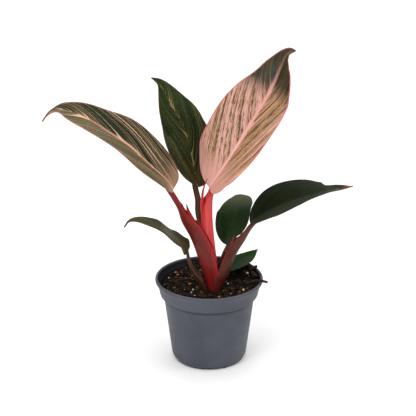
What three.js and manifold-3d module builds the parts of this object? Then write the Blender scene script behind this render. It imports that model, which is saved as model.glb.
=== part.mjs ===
import * as THREE from 'three';
import { ConvexGeometry } from 'three/addons/geometries/ConvexGeometry.js';
import { mergeVertices } from 'three/addons/utils/BufferGeometryUtils.js';
import Module from 'manifold-3d';

const wasm = await Module();
wasm.setup();

// Potted philodendron in millimetres, +Z up, origin at the middle of the pot's underside.
// A leaf is a blade on its stalk; each stalk's foot clasps the ones nearer the middle.

const clearance = 0.3;

// Pot
const potHeight = 48;
const rimRadius = 30;
const wall = 0.9;
const footRadius = 19.6;
const bevelHeight = 2.9;
const bodyFootRadius = 21;
const bodyTopRadius = 25.3;
const bodyTopHeight = 37.2;
const collarFootRadius = 27.3;
const collarFootHeight = 38.5;
const collarTopRadius = 28.4;
const collarTopHeight = 43.5;
const lipFootRadius = 29.3;
const lipFootHeight = 45.8;
const lipEdge = 0.4;
const lipWidth = 1.5;
const floorThickness = 1;
const notchCount = 4;
const notchSpan = THREE.MathUtils.degToRad(36);
const notchHeight = 1.3;
const notchInner = 14;
const drainInner = 15.5;
const drainOuter = 18;
const drainSpan = THREE.MathUtils.degToRad(18);
const potSides = 48;

// Soil
const soilSides = 24;
const soilRings = 9;
const soilHeight = 43.7;
const soilSlope = new THREE.Vector2(0.09, 0.06);
const moundCentre = new THREE.Vector2(20, 13);
const moundHeight = 2.5;
const moundReach = 7;
const crumbCount = 34;

// Stem and roots, hidden in the soil
const stemCentre = new THREE.Vector3(2.5, -4, 0);
const stemTop = 37.7;
const stemFoot = 25;
const stemRings = [[2.2, 26], [3.4, 31.7], [7, 36.1], [7, 37.3], [6.6, 37.7]];
const stemSides = 16;
const rootCount = 5;
const rootReach = 13;
const rootDrops = [8, 11, 14];
const rootRadii = [1.2, 1.1, 0.9, 0.5];

// Blades
const bladeThickness = 0.8;
const ribWidth = 0.07;
const ribRise = 0.25;
const ribDepth = 0.4;
const curl = 0.08;
const endHalfWidth = 0.45;

// Stalks
const sheathWall = 0.8;
const sectionSteps = 6;
const stalkSides = 2 * (sectionSteps + 1);

const leaves = {
  a: {
    midrib: [
      [-19.5, -6, 102], [-23.5, -6.2, 107.5], [-31.7, -7.9, 116.2], [-42.7, -9.9, 127.6],
      [-54.1, -12.7, 137.1], [-65.4, -14.1, 145.1], [-75.5, -14.7, 149], [-82.5, -15.4, 147.5],
      [-86.6, -15.2, 142.9],
    ],
    faces: [[0.56, -0.23, 0.79], [0.61, -0.35, 0.71], [-0.99, -0.14, -0.01]],
    halfWidth: 18.4, basePower: 0.47, tipPower: 1.32, fold: 21, lobe: 1.9,
    cells: [8, 22], colour: 0x47523a,
  },
  b: {
    midrib: [
      [-6.1, 11.2, 96.8], [-9.2, 15.6, 109.4], [-13, 20.7, 126.3], [-20.6, 25.7, 138.8], [-26.6, 29.2, 149.3],
      [-31.6, 29.2, 154.3],
    ],
    faces: [[0.69, -0.63, 0.35], [-0.1, -0.93, 0.34], [0.46, -0.22, 0.86]],
    halfWidth: 14, basePower: 0.42, tipPower: 0.8, fold: 25, lobe: 0.5,
    cells: [8, 18], colour: 0x1f2c1c,
  },
  c: {
    midrib: [
      [0.5, 4.5, 99], [10, 3.5, 114], [22, 8.5, 133], [33.5, 14.5, 151.5], [39, 19, 163], [42.5, 20, 169.5],
      [46.5, 19, 172],
    ],
    faces: [[-0.77, -0.42, 0.48], [-0.56, -0.64, 0.52], [-0.4, -0.78, 0.48], [-0.53, -0.26, 0.81]],
    halfWidth: 22.6, basePower: 0.4, tipPower: 0.76, fold: 25, lobe: 0.3,
    cells: [8, 22], colour: 0xd3988a,
  },
  d: {
    midrib: [
      [22.5, 2.5, 79.5], [35, 2.5, 87.5], [49, 2, 93.5], [63.5, 3, 97], [70.5, 5.5, 97.5],
      [78.5, 4.5, 100],
    ],
    faces: [[-0.88, -0.25, 0.4], [-0.51, -0.19, 0.84], [-0.34, 0.12, 0.93]],
    halfWidth: 15.5, basePower: 0.67, tipPower: 1.1, fold: 23, lobe: 0.5,
    cells: [8, 18], colour: 0x1b241b,
  },
  e: {
    midrib: [[9.2, 10.7, 63], [10.9, 12.8, 69.6], [14.5, 16.2, 78.2], [16.9, 22.8, 82.8], [17.7, 29.3, 85.9]],
    faces: [[-0.82, -0.57, 0.04], [-0.59, -0.81, -0.02], [-0.1, -0.46, 0.88]],
    halfWidth: 11.2, basePower: 0.57, tipPower: 0.6, fold: 15, lobe: 0.7,
    cells: [6, 12], colour: 0x2a3a29,
  },
  f: {
    midrib: [[11, 8, 48.5], [16.2, 10, 51.7], [22.1, 12.9, 54.2], [25.7, 15, 56.5], [27.6, 16.2, 57.7]],
    faces: [[-0.37, 0.01, 0.93], [-0.26, -0.22, 0.94], [0.23, -0.23, 0.95]],
    halfWidth: 6.9, basePower: 0.49, tipPower: 1.09, fold: 12, lobe: 2,
    cells: [6, 9], colour: 0x2c3a22,
  },
  g: {
    midrib: [
      [-10.9, -8.6, 69.2], [-15.2, -12, 74.2], [-21.1, -16.4, 80.4], [-27.1, -20.2, 86.9],
      [-33.4, -22, 90.2], [-39.1, -23.6, 91.5], [-42.6, -24.2, 90.6], [-44.8, -24.9, 87.5],
    ],
    faces: [
      [0.86, -0.49, 0.16], [0.77, 0.1, 0.63], [0.73, 0.03, 0.68], [0.35, -0.22, 0.91], [-0.72, -0.39, 0.57],
    ],
    halfWidth: 8, basePower: 0.4, tipPower: 1.27, fold: 5, lobe: 0.4,
    cells: [6, 16], colour: 0x46493a,
  },
};

// A stalk is given by the line of its back from the foot up, the way its groove opens, and sections:
// how far up, half the width, the depth to the edges, and the height of the groove's floor.
const stalks = {
  a: {
    back: [
      [-1, -6, 38], [-1.3, -6, 44], [-2.9, -6.5, 52], [-5.9, -7, 61.8], [-9.9, -7, 73.7],
      [-14.8, -6.8, 83.5], [-17.4, -6.5, 91.6],
    ],
    opens: [[1, 0, 0.1], [1, 0.05, 0.35], [0.56, -0.23, 0.79]],
    sections: [
      [0, 3.3, 3, 2.4], [0.08, 3.8, 5, 2], [0.2, 3.9, 8.3, 1.8], [0.35, 3.6, 9.4, 1.8],
      [0.52, 3, 8, 2], [0.64, 2.3, 5.2, 2.2], [0.71, 1.9, 3.2, 2.6], [0.79, 1.8, 2.3, 3.2],
      [0.9, 1.7, 2, 3],
    ],
    tip: { path: [[-8.4, -8.1, 83.5], [-11, -8.3, 89.6], [-12.2, -8.6, 94.6]], radii: [1.6, 1.2, 0.3] },
    join: 3.4,
    rows: 20,
    colour: 0x7c2a26,
  },
  b: {
    back: [
      [1, 2.2, 38], [1, 2.6, 45.3], [-0.7, 4.2, 60.2], [-3.4, 6.8, 71.9], [-6.2, 9.8, 83], [-6.6, 11.8, 89.6],
    ],
    opens: [[0, -1, 0.1], [0, -1, 0.1], [0.5, -0.8, 0.2]],
    sections: [
      [0, 2.3, 2, 1.8], [0.1, 2.4, 2.8, 1.6], [0.35, 2.1, 2.8, 1.6], [0.55, 1.9, 1.8, 2.4],
      [0.7, 1.8, 1.7, 2.8], [0.9, 1.6, 1.5, 2.6],
    ],
    join: 3,
    rows: 13,
    colour: 0x42302a,
  },
  c: {
    back: [
      [4.3, -6, 38], [4.4, -6, 44], [4.8, -5.5, 51.5], [4.4, -4, 59.3], [2.9, -1, 70.8], [1.8, 2.5, 83.9],
      [2.2, 5.4, 94],
    ],
    opens: [[-1, 0, 0], [-1, -0.1, 0.1], [-0.7, -0.55, 0.35]],
    sections: [
      [0, 1.9, 2.2, 2.3], [0.1, 2, 2.8, 2], [0.25, 2.4, 5, 1.8], [0.4, 2.4, 6, 1.8], [0.55, 2.3, 6, 1.8],
      [0.7, 2.2, 5.7, 2], [0.76, 2.1, 4.7, 2.4], [0.81, 2.1, 2.7, 3.3], [0.9, 1.9, 2, 3],
    ],
    tip: { path: [[-3.2, 0, 83], [-4.2, 0.6, 88.5], [-4.8, 1.4, 93]], radii: [0.8, 0.7, 0.3] },
    join: 3.4,
    rows: 20,
    colour: 0xcf4f50,
  },
  d: {
    back: [
      [6.2, -6, 38], [6.1, -6, 42], [7.8, -6, 46.4], [11.1, -5, 52.9], [13.1, -4, 58.2], [15.8, -2, 63.9],
      [19.7, 0, 69.8], [22.3, 1.5, 74.2],
    ],
    opens: [[-1, 0, 0], [-1, -0.1, 0.3], [-0.6, -0.15, 0.75]],
    sections: [
      [0, 4.2, 3, 1.5], [0.1, 4.8, 4.5, 1.3], [0.2, 4.8, 6.5, 1.3], [0.38, 4, 6.6, 1.6], [0.52, 3, 6, 1.8],
      [0.62, 2.3, 5.2, 2], [0.7, 1.8, 3.4, 2.6], [0.78, 1.6, 2.2, 2.9], [0.92, 1.5, 1.5, 2.5],
    ],
    tip: { path: [[10, -3.9, 64], [12.3, -3.4, 69.6], [13.7, -3, 73.8]], radii: [1.3, 1, 0.3] },
    join: 3,
    rows: 20,
    colour: 0x532a20,
  },
  e: {
    back: [[4.5, 2.9, 38], [4.7, 3, 43], [5.8, 4.2, 50], [8.1, 8.2, 57.5]],
    opens: [[0, -1, 0.1], [-0.3, -1, 0.4], [-0.7, -0.6, 0.3]],
    sections: [[0, 1.1, 1, 1.6], [0.3, 1.1, 1, 1.7], [0.9, 0.8, 0.8, 1.4]],
    join: 2.2,
    rows: 8,
    colour: 0x2c2a20,
  },
  f: {
    back: [[8.3, 1.6, 38], [8.6, 1.8, 41.5], [9.3, 4, 44.5]],
    opens: [[-0.6, 0, 0.4], [-0.4, 0, 0.8], [-0.37, 0, 0.93]],
    sections: [[0, 1.2, 1, 1.6], [0.5, 1.1, 1, 1.6], [0.9, 0.8, 0.8, 1.4]],
    join: 2.2,
    rows: 6,
    colour: 0x3a3024,
  },
  g: {
    back: [
      [-2.6, -8, 38], [-4.4, -9, 43.4], [-6.3, -9.3, 48], [-8.3, -9, 51.3], [-9.9, -8.6, 54.6],
      [-11.8, -8.3, 61.5],
    ],
    opens: [[1, 0, 0.2], [1, -0.2, 0.4], [0.6, -0.7, -0.2]],
    sections: [
      [0, 1.9, 2.2, 1.6], [0.2, 2, 3.2, 1.2], [0.36, 1.9, 3.4, 1.2], [0.5, 1.5, 2.6, 1.3],
      [0.6, 1.3, 1.3, 2], [0.9, 1, 0.9, 1.4],
    ],
    tip: { path: [[-3.8, -10.4, 48.5], [-4.5, -10.3, 52.5], [-5.5, -10, 55.2]], radii: [0.7, 0.6, 0.25] },
    join: 2,
    rows: 14,
    colour: 0x45322a,
  },
};

// The rolled new leaf that comes up inside the sheath of stalk c
const spear = {
  path: [
    [0.6, -6, 41], [0.3, -5, 51], [-0.6, -3.2, 62], [-1.6, -0.6, 74], [-3.2, 1.6, 86], [-3.7, 3, 95],
    [-2.6, 3.6, 100.5], [-0.9, 4, 104.5],
  ],
  radii: [1, 1.1, 1.1, 1.1, 1.1, 1.1, 0.95, 0.65, 0.4],
  sides: 8,
  rows: 16,
  colour: 0xb04048,
};

// The sliver of bark that lies in the soil and over the rim
const barkChip = {
  path: [[20.5, -7, 46.8], [24, -7.7, 48.3], [28, -8.5, 49.3], [32.2, -9.3, 48.8]],
  radii: [0.7, 0.9, 0.85, 0.6],
  sides: 6,
  rows: 6,
  colour: 0x3a2420,
};

const model = new THREE.Group();

function vector(values) {
  return new THREE.Vector3(...values);
}

function curveThrough(points) {
  return new THREE.CatmullRomCurve3(points.map(vector), false, 'catmullrom', 0.5);
}

// Value at a place between 0 and 1 along a list of evenly spaced values
function along(values, place) {
  const last = values.length - 1;
  const step = Math.min(Math.floor(place * last), last - 1);
  return THREE.MathUtils.lerp(values[step], values[step + 1], place * last - step);
}

function directionAlong(directions, place) {
  return new THREE.Vector3(
    along(directions.map((direction) => direction[0]), place),
    along(directions.map((direction) => direction[1]), place),
    along(directions.map((direction) => direction[2]), place),
  );
}

// Right-angled axes at a place on a curve, with one of them turned as near as can be to a direction.
// A grown copy is longer by its growth at both ends.
function axesAt(curve, directions, place, grow = 0) {
  const point = curve.getPointAt(place);
  const forward = curve.getTangentAt(place);
  point.addScaledVector(forward, grow * (Number(place > 0.999) - Number(place < 0.001)));
  const facing = directionAlong(directions, place);
  facing.addScaledVector(forward, -facing.dot(forward)).normalize();
  const side = new THREE.Vector3().crossVectors(forward, facing);
  return { point, forward, facing, side };
}

function seeded(seed) {
  let state = seed;
  return () => {
    state = (state * 1664525 + 1013904223) % 4294967296;
    return state / 4294967296;
  };
}

function toSolid(geometry) {
  const bare = geometry.clone();
  bare.deleteAttribute('normal');
  bare.deleteAttribute('uv');
  const merged = mergeVertices(bare, 1e-4);
  return new wasm.Manifold(new wasm.Mesh({
    numProp: 3,
    vertProperties: new Float32Array(merged.attributes.position.array),
    triVerts: new Uint32Array(merged.index.array),
  }));
}

function toGeometry(solid) {
  const mesh = solid.getMesh();
  const geometry = new THREE.BufferGeometry();
  geometry.setAttribute('position', new THREE.BufferAttribute(mesh.vertProperties, 3));
  geometry.setIndex(new THREE.BufferAttribute(mesh.triVerts, 1));
  geometry.computeVertexNormals();
  return geometry;
}

// A cut can leave loose scraps, and only the main body is kept
function mainBody(solid) {
  const bodies = solid.decompose();
  bodies.sort((one, other) => other.volume() - one.volume());
  return bodies[0];
}

function addPiece(name, solid, colour, roughness) {
  const material = new THREE.MeshStandardMaterial({ color: colour, roughness, metalness: 0 });
  const mesh = new THREE.Mesh(toGeometry(solid), material);
  mesh.name = name;
  model.add(mesh);
}

// A closed tube whose sections a function draws: place along it, and place round it, both 0 to 1
function tube(sides, rows, pointAt, centreAt) {
  const geometry = new THREE.CylinderGeometry(1, 1, 1, sides, rows);
  const position = geometry.attributes.position;
  for (let index = 0; index < position.count; index += 1) {
    const place = position.getY(index) + 0.5;
    const across = Math.hypot(position.getX(index), position.getZ(index));
    const turn = Math.atan2(position.getX(index), position.getZ(index)) / (2 * Math.PI);
    const round = ((Math.round(turn * sides) + sides) % sides) / sides;
    const point = across < 0.5 ? centreAt(place) : pointAt(place, round);
    position.setXYZ(index, point.x, point.y, point.z);
  }
  return geometry;
}

// The groove's squares are split the other way, so that a thin sheath wall is split alike on both faces
function splitAlike(geometry, rows) {
  const corners = geometry.index.array;
  for (let square = (sectionSteps + 1) * rows; square < (stalkSides - 1) * rows; square += 1) {
    const start = 6 * square;
    const [first, second, fourth, , third] = corners.slice(start, start + 6);
    corners.set([first, second, third, first, third, fourth], start);
  }
  return geometry;
}

function roundTube(shape, grow = 0) {
  const curve = curveThrough(shape.path);
  const upright = [[0.3, 1, 0.2], [0.3, 1, 0.2]];
  const pointAt = (place, round) => {
    const { point, facing, side } = axesAt(curve, upright, place, grow);
    const radius = along(shape.radii, place) + grow;
    const angle = round * 2 * Math.PI;
    point.addScaledVector(facing, radius * Math.cos(angle));
    return point.addScaledVector(side, radius * Math.sin(angle));
  };
  return tube(shape.sides, shape.rows, pointAt, (place) => axesAt(curve, upright, place, grow).point);
}

// Half the blade's width at a place along it, as a share of its greatest:
// round at the stalk, drawn out at the tip
function outline(leaf, place) {
  const widest = leaf.basePower / (leaf.basePower + leaf.tipPower);
  const rise = (place / widest) ** leaf.basePower;
  return rise * ((1 - place) / (1 - widest)) ** leaf.tipPower;
}

// Point of the blade: place runs from stalk to tip, across from edge (-1) over the midrib (0) to edge (1)
function bladePoint(leaf, place, across, lift, grow = 0) {
  const { point, forward, facing, side } = axesAt(leaf.curve, leaf.faces, place, grow);
  const halfWidth = Math.max(leaf.halfWidth * outline(leaf, place), endHalfWidth) + grow;
  const reach = Math.abs(across);
  const fold = THREE.MathUtils.degToRad(leaf.fold);
  const tilt = Math.sign(across) * fold;
  point.addScaledVector(side, across * halfWidth * Math.cos(fold) - lift * Math.sin(tilt));
  const rise = halfWidth * (reach * Math.sin(fold) - curl * reach ** 2);
  point.addScaledVector(facing, rise + lift * Math.cos(fold));
  return point.addScaledVector(forward, -leaf.lobe * reach ** 2 * outline(leaf, place) * (1 - place) ** 4);
}

// Columns crowd at the midrib and rows at both ends
function columnPlace(across, columns) {
  const reach = Math.abs(across);
  const first = 2 / columns;
  if (reach < first / 2) {
    return 0;
  }
  const share = (reach - first) / (1 - first);
  return Math.sign(across) * (ribWidth + (1 - ribWidth) * share);
}

function rowPlace(place) {
  return THREE.MathUtils.lerp(place, (1 - Math.cos(Math.PI * place)) / 2, 0.7);
}

// Two faces from one grid, so both are split into triangles alike, and a band round the edge
function bladeGeometry(leaf, grow = 0) {
  const [columns, rows] = leaf.cells;
  const grid = new THREE.PlaneGeometry(2, 1, columns, rows);
  const flat = grid.attributes.position;
  const count = flat.count;
  const corners = [];
  for (const face of [1, -1]) {
    for (let index = 0; index < count; index += 1) {
      const across = columnPlace(flat.getX(index), columns);
      const place = rowPlace(flat.getY(index) + 0.5);
      const rib = across === 0 ? ribRise + (face < 0 ? ribDepth * (1 - place) : 0) : 0;
      const lift = face * (bladeThickness / 2 + rib + grow);
      corners.push(...bladePoint(leaf, place, across, lift, grow).toArray());
    }
  }
  const triangles = Array.from(grid.index.array);
  for (let index = 0; index < grid.index.count; index += 3) {
    const [first, second, third] = grid.index.array.slice(index, index + 3);
    triangles.push(first + count, third + count, second + count);
  }
  const edge = [];
  const width = columns + 1;
  for (let column = 0; column < columns; column += 1) edge.push(rows * width + column);
  for (let row = rows; row > 0; row -= 1) edge.push(row * width + columns);
  for (let column = columns; column > 0; column -= 1) edge.push(column);
  for (let row = 0; row < rows; row += 1) edge.push(row * width);
  edge.forEach((from, index) => {
    const to = edge[(index + 1) % edge.length];
    triangles.push(to, from, from + count, to, from + count, to + count);
  });
  const geometry = new THREE.BufferGeometry();
  geometry.setAttribute('position', new THREE.Float32BufferAttribute(corners, 3));
  geometry.setIndex(triangles);
  return geometry;
}

// Section values at a place up the stalk
function sectionAt(stalk, place) {
  const sections = stalk.sections;
  let upper = sections.findIndex((section) => section[0] >= place);
  if (upper < 0) {
    upper = sections.length - 1;
    return sections[upper].slice(1);
  }
  if (upper === 0) {
    return sections[0].slice(1);
  }
  const [low, high] = [sections[upper - 1], sections[upper]];
  const share = THREE.MathUtils.smoothstep(place, low[0], high[0]);
  return [1, 2, 3].map((item) => THREE.MathUtils.lerp(low[item], high[item], share));
}

// One point of a stalk's section: the first half of the steps goes round the back, the rest along the groove
function sectionPoint([half, depth, floor], step, grow) {
  const onBack = step <= sectionSteps;
  const angle = Math.PI * (onBack ? step : stalkSides - 1 - step) / sectionSteps;
  if (onBack) {
    return [(half + grow) * Math.cos(angle), depth + grow - (depth + 2 * grow) * Math.sin(angle)];
  }
  const edge = Math.min(sheathWall, 0.45 * half) + (floor < depth ? grow : -grow);
  return [(half - edge) * Math.cos(angle), depth + grow - (depth - floor) * Math.sin(angle)];
}

// A stalk: a rounded back, and a groove in front that opens into the sheath's trough lower down.
// Its thin upper end runs on under the blade as the thick foot of the midrib.
function stalkGeometry(stalk, leaf, grow = 0) {
  const drops = [[0.03, stalk.join], [0.13, 2]];
  const underBlade = drops.map(([place, drop]) => bladePoint(leaf, place, 0, -drop).toArray());
  const curve = curveThrough([...stalk.back, ...underBlade]);
  const values = (place) => {
    const slimming = THREE.MathUtils.lerp(1, 0.35, THREE.MathUtils.smoothstep(place, 0.88, 1));
    return sectionAt(stalk, place).map((value) => value * slimming);
  };
  const pointAt = (place, round) => {
    const { point, facing, side } = axesAt(curve, stalk.opens, place, grow);
    const [out, up] = sectionPoint(values(place), Math.round(round * stalkSides), grow);
    return point.addScaledVector(side, out).addScaledVector(facing, up);
  };
  const centreAt = (place) => {
    const { point, facing } = axesAt(curve, stalk.opens, place, grow);
    return point.addScaledVector(facing, values(place)[2] / 2);
  };
  return splitAlike(tube(stalkSides, stalk.rows, pointAt, centreAt), stalk.rows);
}

// A pointed tip that stands free at the top of a sheath
function tipGeometry(tip, grow = 0) {
  return roundTube({ ...tip, sides: 5, rows: 3 }, grow);
}

function latheSolid(profile, sides) {
  const points = profile.map(([radius, height]) => new THREE.Vector2(radius, height));
  return toSolid(new THREE.LatheGeometry(points, sides).rotateX(Math.PI / 2));
}

// The inside of the pot, from the middle of its floor up the wall, drawn in by a gap
function cavityProfile(gap) {
  const inset = wall + gap;
  return [
    [0, floorThickness + gap], [footRadius - gap, floorThickness + gap],
    [bodyFootRadius - inset, bevelHeight + gap], [bodyTopRadius - inset, bodyTopHeight],
    [collarFootRadius - inset, collarFootHeight], [collarTopRadius - inset, collarTopHeight],
  ];
}

// A block in the form of a slice of a ring, centred on a direction in the floor's plane
function ringSlice(inner, outer, span, direction, low, high) {
  const shape = new THREE.Shape();
  shape.absarc(0, 0, outer, direction - span / 2, direction + span / 2, false);
  shape.absarc(0, 0, inner, direction + span / 2, direction - span / 2, true);
  shape.closePath();
  const options = { depth: high - low, bevelEnabled: false, curveSegments: 4 };
  return toSolid(new THREE.ExtrudeGeometry(shape, options).translate(0, 0, low));
}

function notchDirections() {
  return Array.from({ length: notchCount }, (_, index) => (index + 0.5) * 2 * Math.PI / notchCount);
}

// The steps that the floor makes over the notches
function floorSteps(grow) {
  const inner = notchInner - wall - grow;
  const span = notchSpan + 2 * (wall + grow) / notchInner;
  return notchDirections().map(
    (direction) => ringSlice(inner, bodyTopRadius, span, direction, -1, notchHeight + wall + grow),
  );
}

// The pot stands on a ring foot with notches and drain slots, so that water runs out under it
function makePot() {
  const body = latheSolid([
    [0, 0], [footRadius, 0], [bodyFootRadius, bevelHeight], [bodyTopRadius, bodyTopHeight],
    [collarFootRadius, collarFootHeight], [collarTopRadius, collarTopHeight], [lipFootRadius, lipFootHeight],
    [rimRadius, lipFootHeight + lipEdge], [rimRadius, potHeight - lipEdge], [rimRadius - lipEdge, potHeight],
    [0, potHeight],
  ], potSides);
  let cavity = latheSolid([
    ...cavityProfile(0), [rimRadius - lipWidth, lipFootHeight], [rimRadius - lipWidth, potHeight - lipEdge],
    [rimRadius - lipWidth + lipEdge, potHeight + 1], [0, potHeight + 1],
  ], potSides);
  floorSteps(0).forEach((step) => {
    cavity = cavity.subtract(step);
  });
  let pot = body.subtract(cavity);
  notchDirections().forEach((direction) => {
    pot = pot.subtract(ringSlice(notchInner, rimRadius, notchSpan, direction, -1, notchHeight));
    pot = pot.subtract(ringSlice(drainInner, drainOuter, drainSpan, direction, -1, notchHeight + 2 * wall));
  });
  return pot;
}

// Height of the soil, before its crumbs: sloped, heaped at the back right, and rough all over
function soilTop(x, y) {
  const fromMound = Math.hypot(x - moundCentre.x, y - moundCentre.y) / moundReach;
  const waves = 0.35 * Math.sin(1.1 * x + 0.7 * y) + 0.3 * Math.sin(0.8 * y - 1.3 * x + 2);
  const rough = waves + 0.2 * Math.sin(2.3 * x + 1.9 * y);
  return soilHeight + soilSlope.x * x + soilSlope.y * y + moundHeight * Math.exp(-(fromMound ** 2)) + rough;
}

function makeSoil() {
  const outer = cavityProfile(clearance);
  const [edgeRadius, edgeHeight] = outer[outer.length - 1];
  const collarSlope = (collarTopRadius - collarFootRadius) / (collarTopHeight - collarFootHeight);
  const profile = outer.slice(0, -1);
  for (let ring = soilRings; ring >= 0; ring -= 1) {
    profile.push([edgeRadius * ring / soilRings, edgeHeight]);
  }
  const points = profile.map(([radius, height]) => new THREE.Vector2(radius, height));
  const geometry = new THREE.LatheGeometry(points, soilSides).rotateX(Math.PI / 2);
  const position = geometry.attributes.position;
  for (let index = 0; index < position.count; index += 1) {
    if (position.getZ(index) > edgeHeight - clearance) {
      const [x, y] = [position.getX(index), position.getY(index)];
      const height = soilTop(x, y);
      const inward = 1 + Math.min(0, height - edgeHeight) * collarSlope / edgeRadius;
      position.setXYZ(index, x * inward, y * inward, height);
    }
  }
  let soil = toSolid(geometry);
  const random = seeded(7);
  for (let crumb = 0; crumb < crumbCount; crumb += 1) {
    const radius = edgeRadius * Math.sqrt(0.16 + 0.58 * random());
    const turn = 2 * Math.PI * random();
    const size = 0.9 + 1.5 * random() ** 2;
    const lump = new THREE.OctahedronGeometry(size, 0).scale(1.3, 0.9, 0.8);
    lump.rotateX(3 * random()).rotateY(3 * random()).rotateZ(6 * random());
    const [x, y] = [radius * Math.cos(turn), radius * Math.sin(turn)];
    soil = soil.add(toSolid(lump.translate(x, y, soilTop(x, y) + 0.2 * size)));
  }
  floorSteps(clearance).forEach((step) => {
    soil = soil.subtract(step);
  });
  return soil;
}

// The short stem that the stalks grow from, with thick roots
function makeStem(grow = 0) {
  const middle = (stemFoot + stemTop) / 2;
  const shift = (height) => (height > middle ? grow : -grow);
  const rings = stemRings.map(([radius, height]) => [radius + grow, height + shift(height)]);
  const profile = [[0, stemFoot - grow], ...rings, [0, stemTop + grow]];
  let stem = latheSolid(profile, stemSides).translate(stemCentre.toArray());
  for (let root = 0; root < rootCount; root += 1) {
    const turn = 2 * Math.PI * root / rootCount + 0.4;
    const [east, north] = [Math.cos(turn), Math.sin(turn)];
    const line = [
      [1, stemFoot + 4], [0.45 * rootReach, stemFoot + 1], [0.85 * rootReach, stemFoot - 5],
      [rootReach, rootDrops[root % rootDrops.length]],
    ];
    const path = line.map(
      ([reach, height]) => [stemCentre.x + reach * east, stemCentre.y + reach * north, height],
    );
    stem = stem.add(toSolid(roundTube({ path, radii: rootRadii, sides: 5, rows: 5 }, grow)));
  }
  return stem;
}

// Grown copies leave the gap when they are cut out of their neighbours
const blades = {};
const grownBlades = {};
const stems = {};
const grownStems = {};
Object.entries(leaves).forEach(([key, leaf]) => {
  leaf.curve = curveThrough(leaf.midrib);
  blades[key] = toSolid(bladeGeometry(leaf));
  grownBlades[key] = toSolid(bladeGeometry(leaf, clearance));
});

const spearSolid = toSolid(roundTube(spear));
const grownInner = [toSolid(roundTube(spear, clearance))];
['c', 'a', 'd', 'b', 'e', 'f', 'g'].forEach((key) => {
  const stalk = stalks[key];
  let solid = toSolid(stalkGeometry(stalk, leaves[key]));
  let grown = toSolid(stalkGeometry(stalk, leaves[key], clearance));
  if (stalk.tip) {
    solid = solid.add(toSolid(tipGeometry(stalk.tip)));
    grown = grown.add(toSolid(tipGeometry(stalk.tip, clearance)));
  }
  grownInner.forEach((other) => {
    solid = solid.subtract(other);
  });
  stems[key] = mainBody(solid.subtract(grownBlades[key]));
  grownStems[key] = grown;
  grownInner.push(grown);
});

// The hole that the stalks stand in
const feet = Object.values(grownStems).flatMap((solid) => {
  const values = Array.from(solid.getMesh().vertProperties);
  const points = [];
  for (let index = 0; index < values.length; index += 3) {
    if (values[index + 2] < soilHeight + 3) points.push(new THREE.Vector3(...values.slice(index, index + 3)));
  }
  return points;
});
const feetTops = feet.map((point) => new THREE.Vector3(point.x, point.y, soilHeight + 6));
const well = toSolid(new ConvexGeometry([...feet, ...feetTops]));

const grownChip = toSolid(roundTube(barkChip, clearance));
let soil = makeSoil().subtract(well).subtract(makeStem(clearance)).subtract(grownChip);
Object.values(grownStems).forEach((stalk) => {
  soil = soil.subtract(stalk);
});

addPiece('pot', makePot(), 0x54585d, 0.55);
addPiece('soil', mainBody(soil), 0x2a211c, 0.95);
addPiece('stem_crown', makeStem(), 0x8c7a5c, 0.8);
addPiece('bark_chip', toSolid(roundTube(barkChip)), barkChip.colour, 0.9);
addPiece('new_leaf_spear', spearSolid, spear.colour, 0.45);
Object.keys(leaves).forEach((key) => {
  addPiece(`stalk_${key}`, stems[key], stalks[key].colour, 0.45);
  addPiece(`leaf_${key}`, blades[key], leaves[key].colour, 0.4);
});

export default model;
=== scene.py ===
# %% [markdown]
# # A young potted philodendron
# The object is a house plant in a small nursery pot: seven leaves on fleshy stalks, one rolled new leaf,
# and a dark potting mix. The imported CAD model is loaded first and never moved. Each step then makes one
# finer piece in the same place and at the same size, and hides the plain solid that it stands for.

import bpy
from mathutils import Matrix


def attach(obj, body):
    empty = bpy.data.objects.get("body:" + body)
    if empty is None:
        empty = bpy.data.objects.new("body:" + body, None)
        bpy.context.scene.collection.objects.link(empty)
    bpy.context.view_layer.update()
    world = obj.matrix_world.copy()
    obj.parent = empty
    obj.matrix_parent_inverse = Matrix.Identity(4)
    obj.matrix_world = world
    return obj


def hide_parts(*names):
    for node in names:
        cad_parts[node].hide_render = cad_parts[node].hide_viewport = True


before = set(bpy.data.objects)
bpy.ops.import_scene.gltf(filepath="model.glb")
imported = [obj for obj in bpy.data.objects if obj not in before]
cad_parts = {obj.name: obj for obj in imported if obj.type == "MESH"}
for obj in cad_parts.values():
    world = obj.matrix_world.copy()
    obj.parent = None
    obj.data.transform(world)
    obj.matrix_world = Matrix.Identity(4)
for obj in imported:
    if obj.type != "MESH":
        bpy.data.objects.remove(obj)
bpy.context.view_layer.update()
print("CAD nodes:", len(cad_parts))

# %% Blender's own modules
import math
import random

import bpy
import numpy as np
from mathutils import Matrix, Vector, noise

print("Blender", bpy.app.version_string)

# %% [markdown]
# ## Working by operators
# So each step begins by deselecting everything. In edit mode the faces and edges are picked in code, by
# their place.


# %% Selecting and applying
def deselect_all():
    for obj in bpy.context.selected_objects:
        obj.select_set(False)


def make_active(obj):
    deselect_all()
    obj.select_set(True)
    bpy.context.view_layer.objects.active = obj


def edit(obj, select_all=True):
    make_active(obj)
    bpy.ops.object.mode_set(mode="EDIT")
    bpy.ops.mesh.select_all(action="SELECT" if select_all else "DESELECT")


def leave_edit():
    bpy.ops.object.mode_set(mode="OBJECT")


def apply_modifier(obj, kind, **settings):
    make_active(obj)
    modifier = obj.modifiers.new(kind.title(), kind)
    for name, value in settings.items():
        setattr(modifier, name, value)
    bpy.ops.object.modifier_apply(modifier=modifier.name)


# %% Reading, moving and marking points
def points_of(obj):
    flat = np.zeros(len(obj.data.vertices) * 3)
    obj.data.vertices.foreach_get("co", flat)
    return flat.reshape(-1, 3)


def move_points(obj, points):
    obj.data.vertices.foreach_set("co", np.asarray(points, float).ravel())
    obj.data.update()


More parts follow.
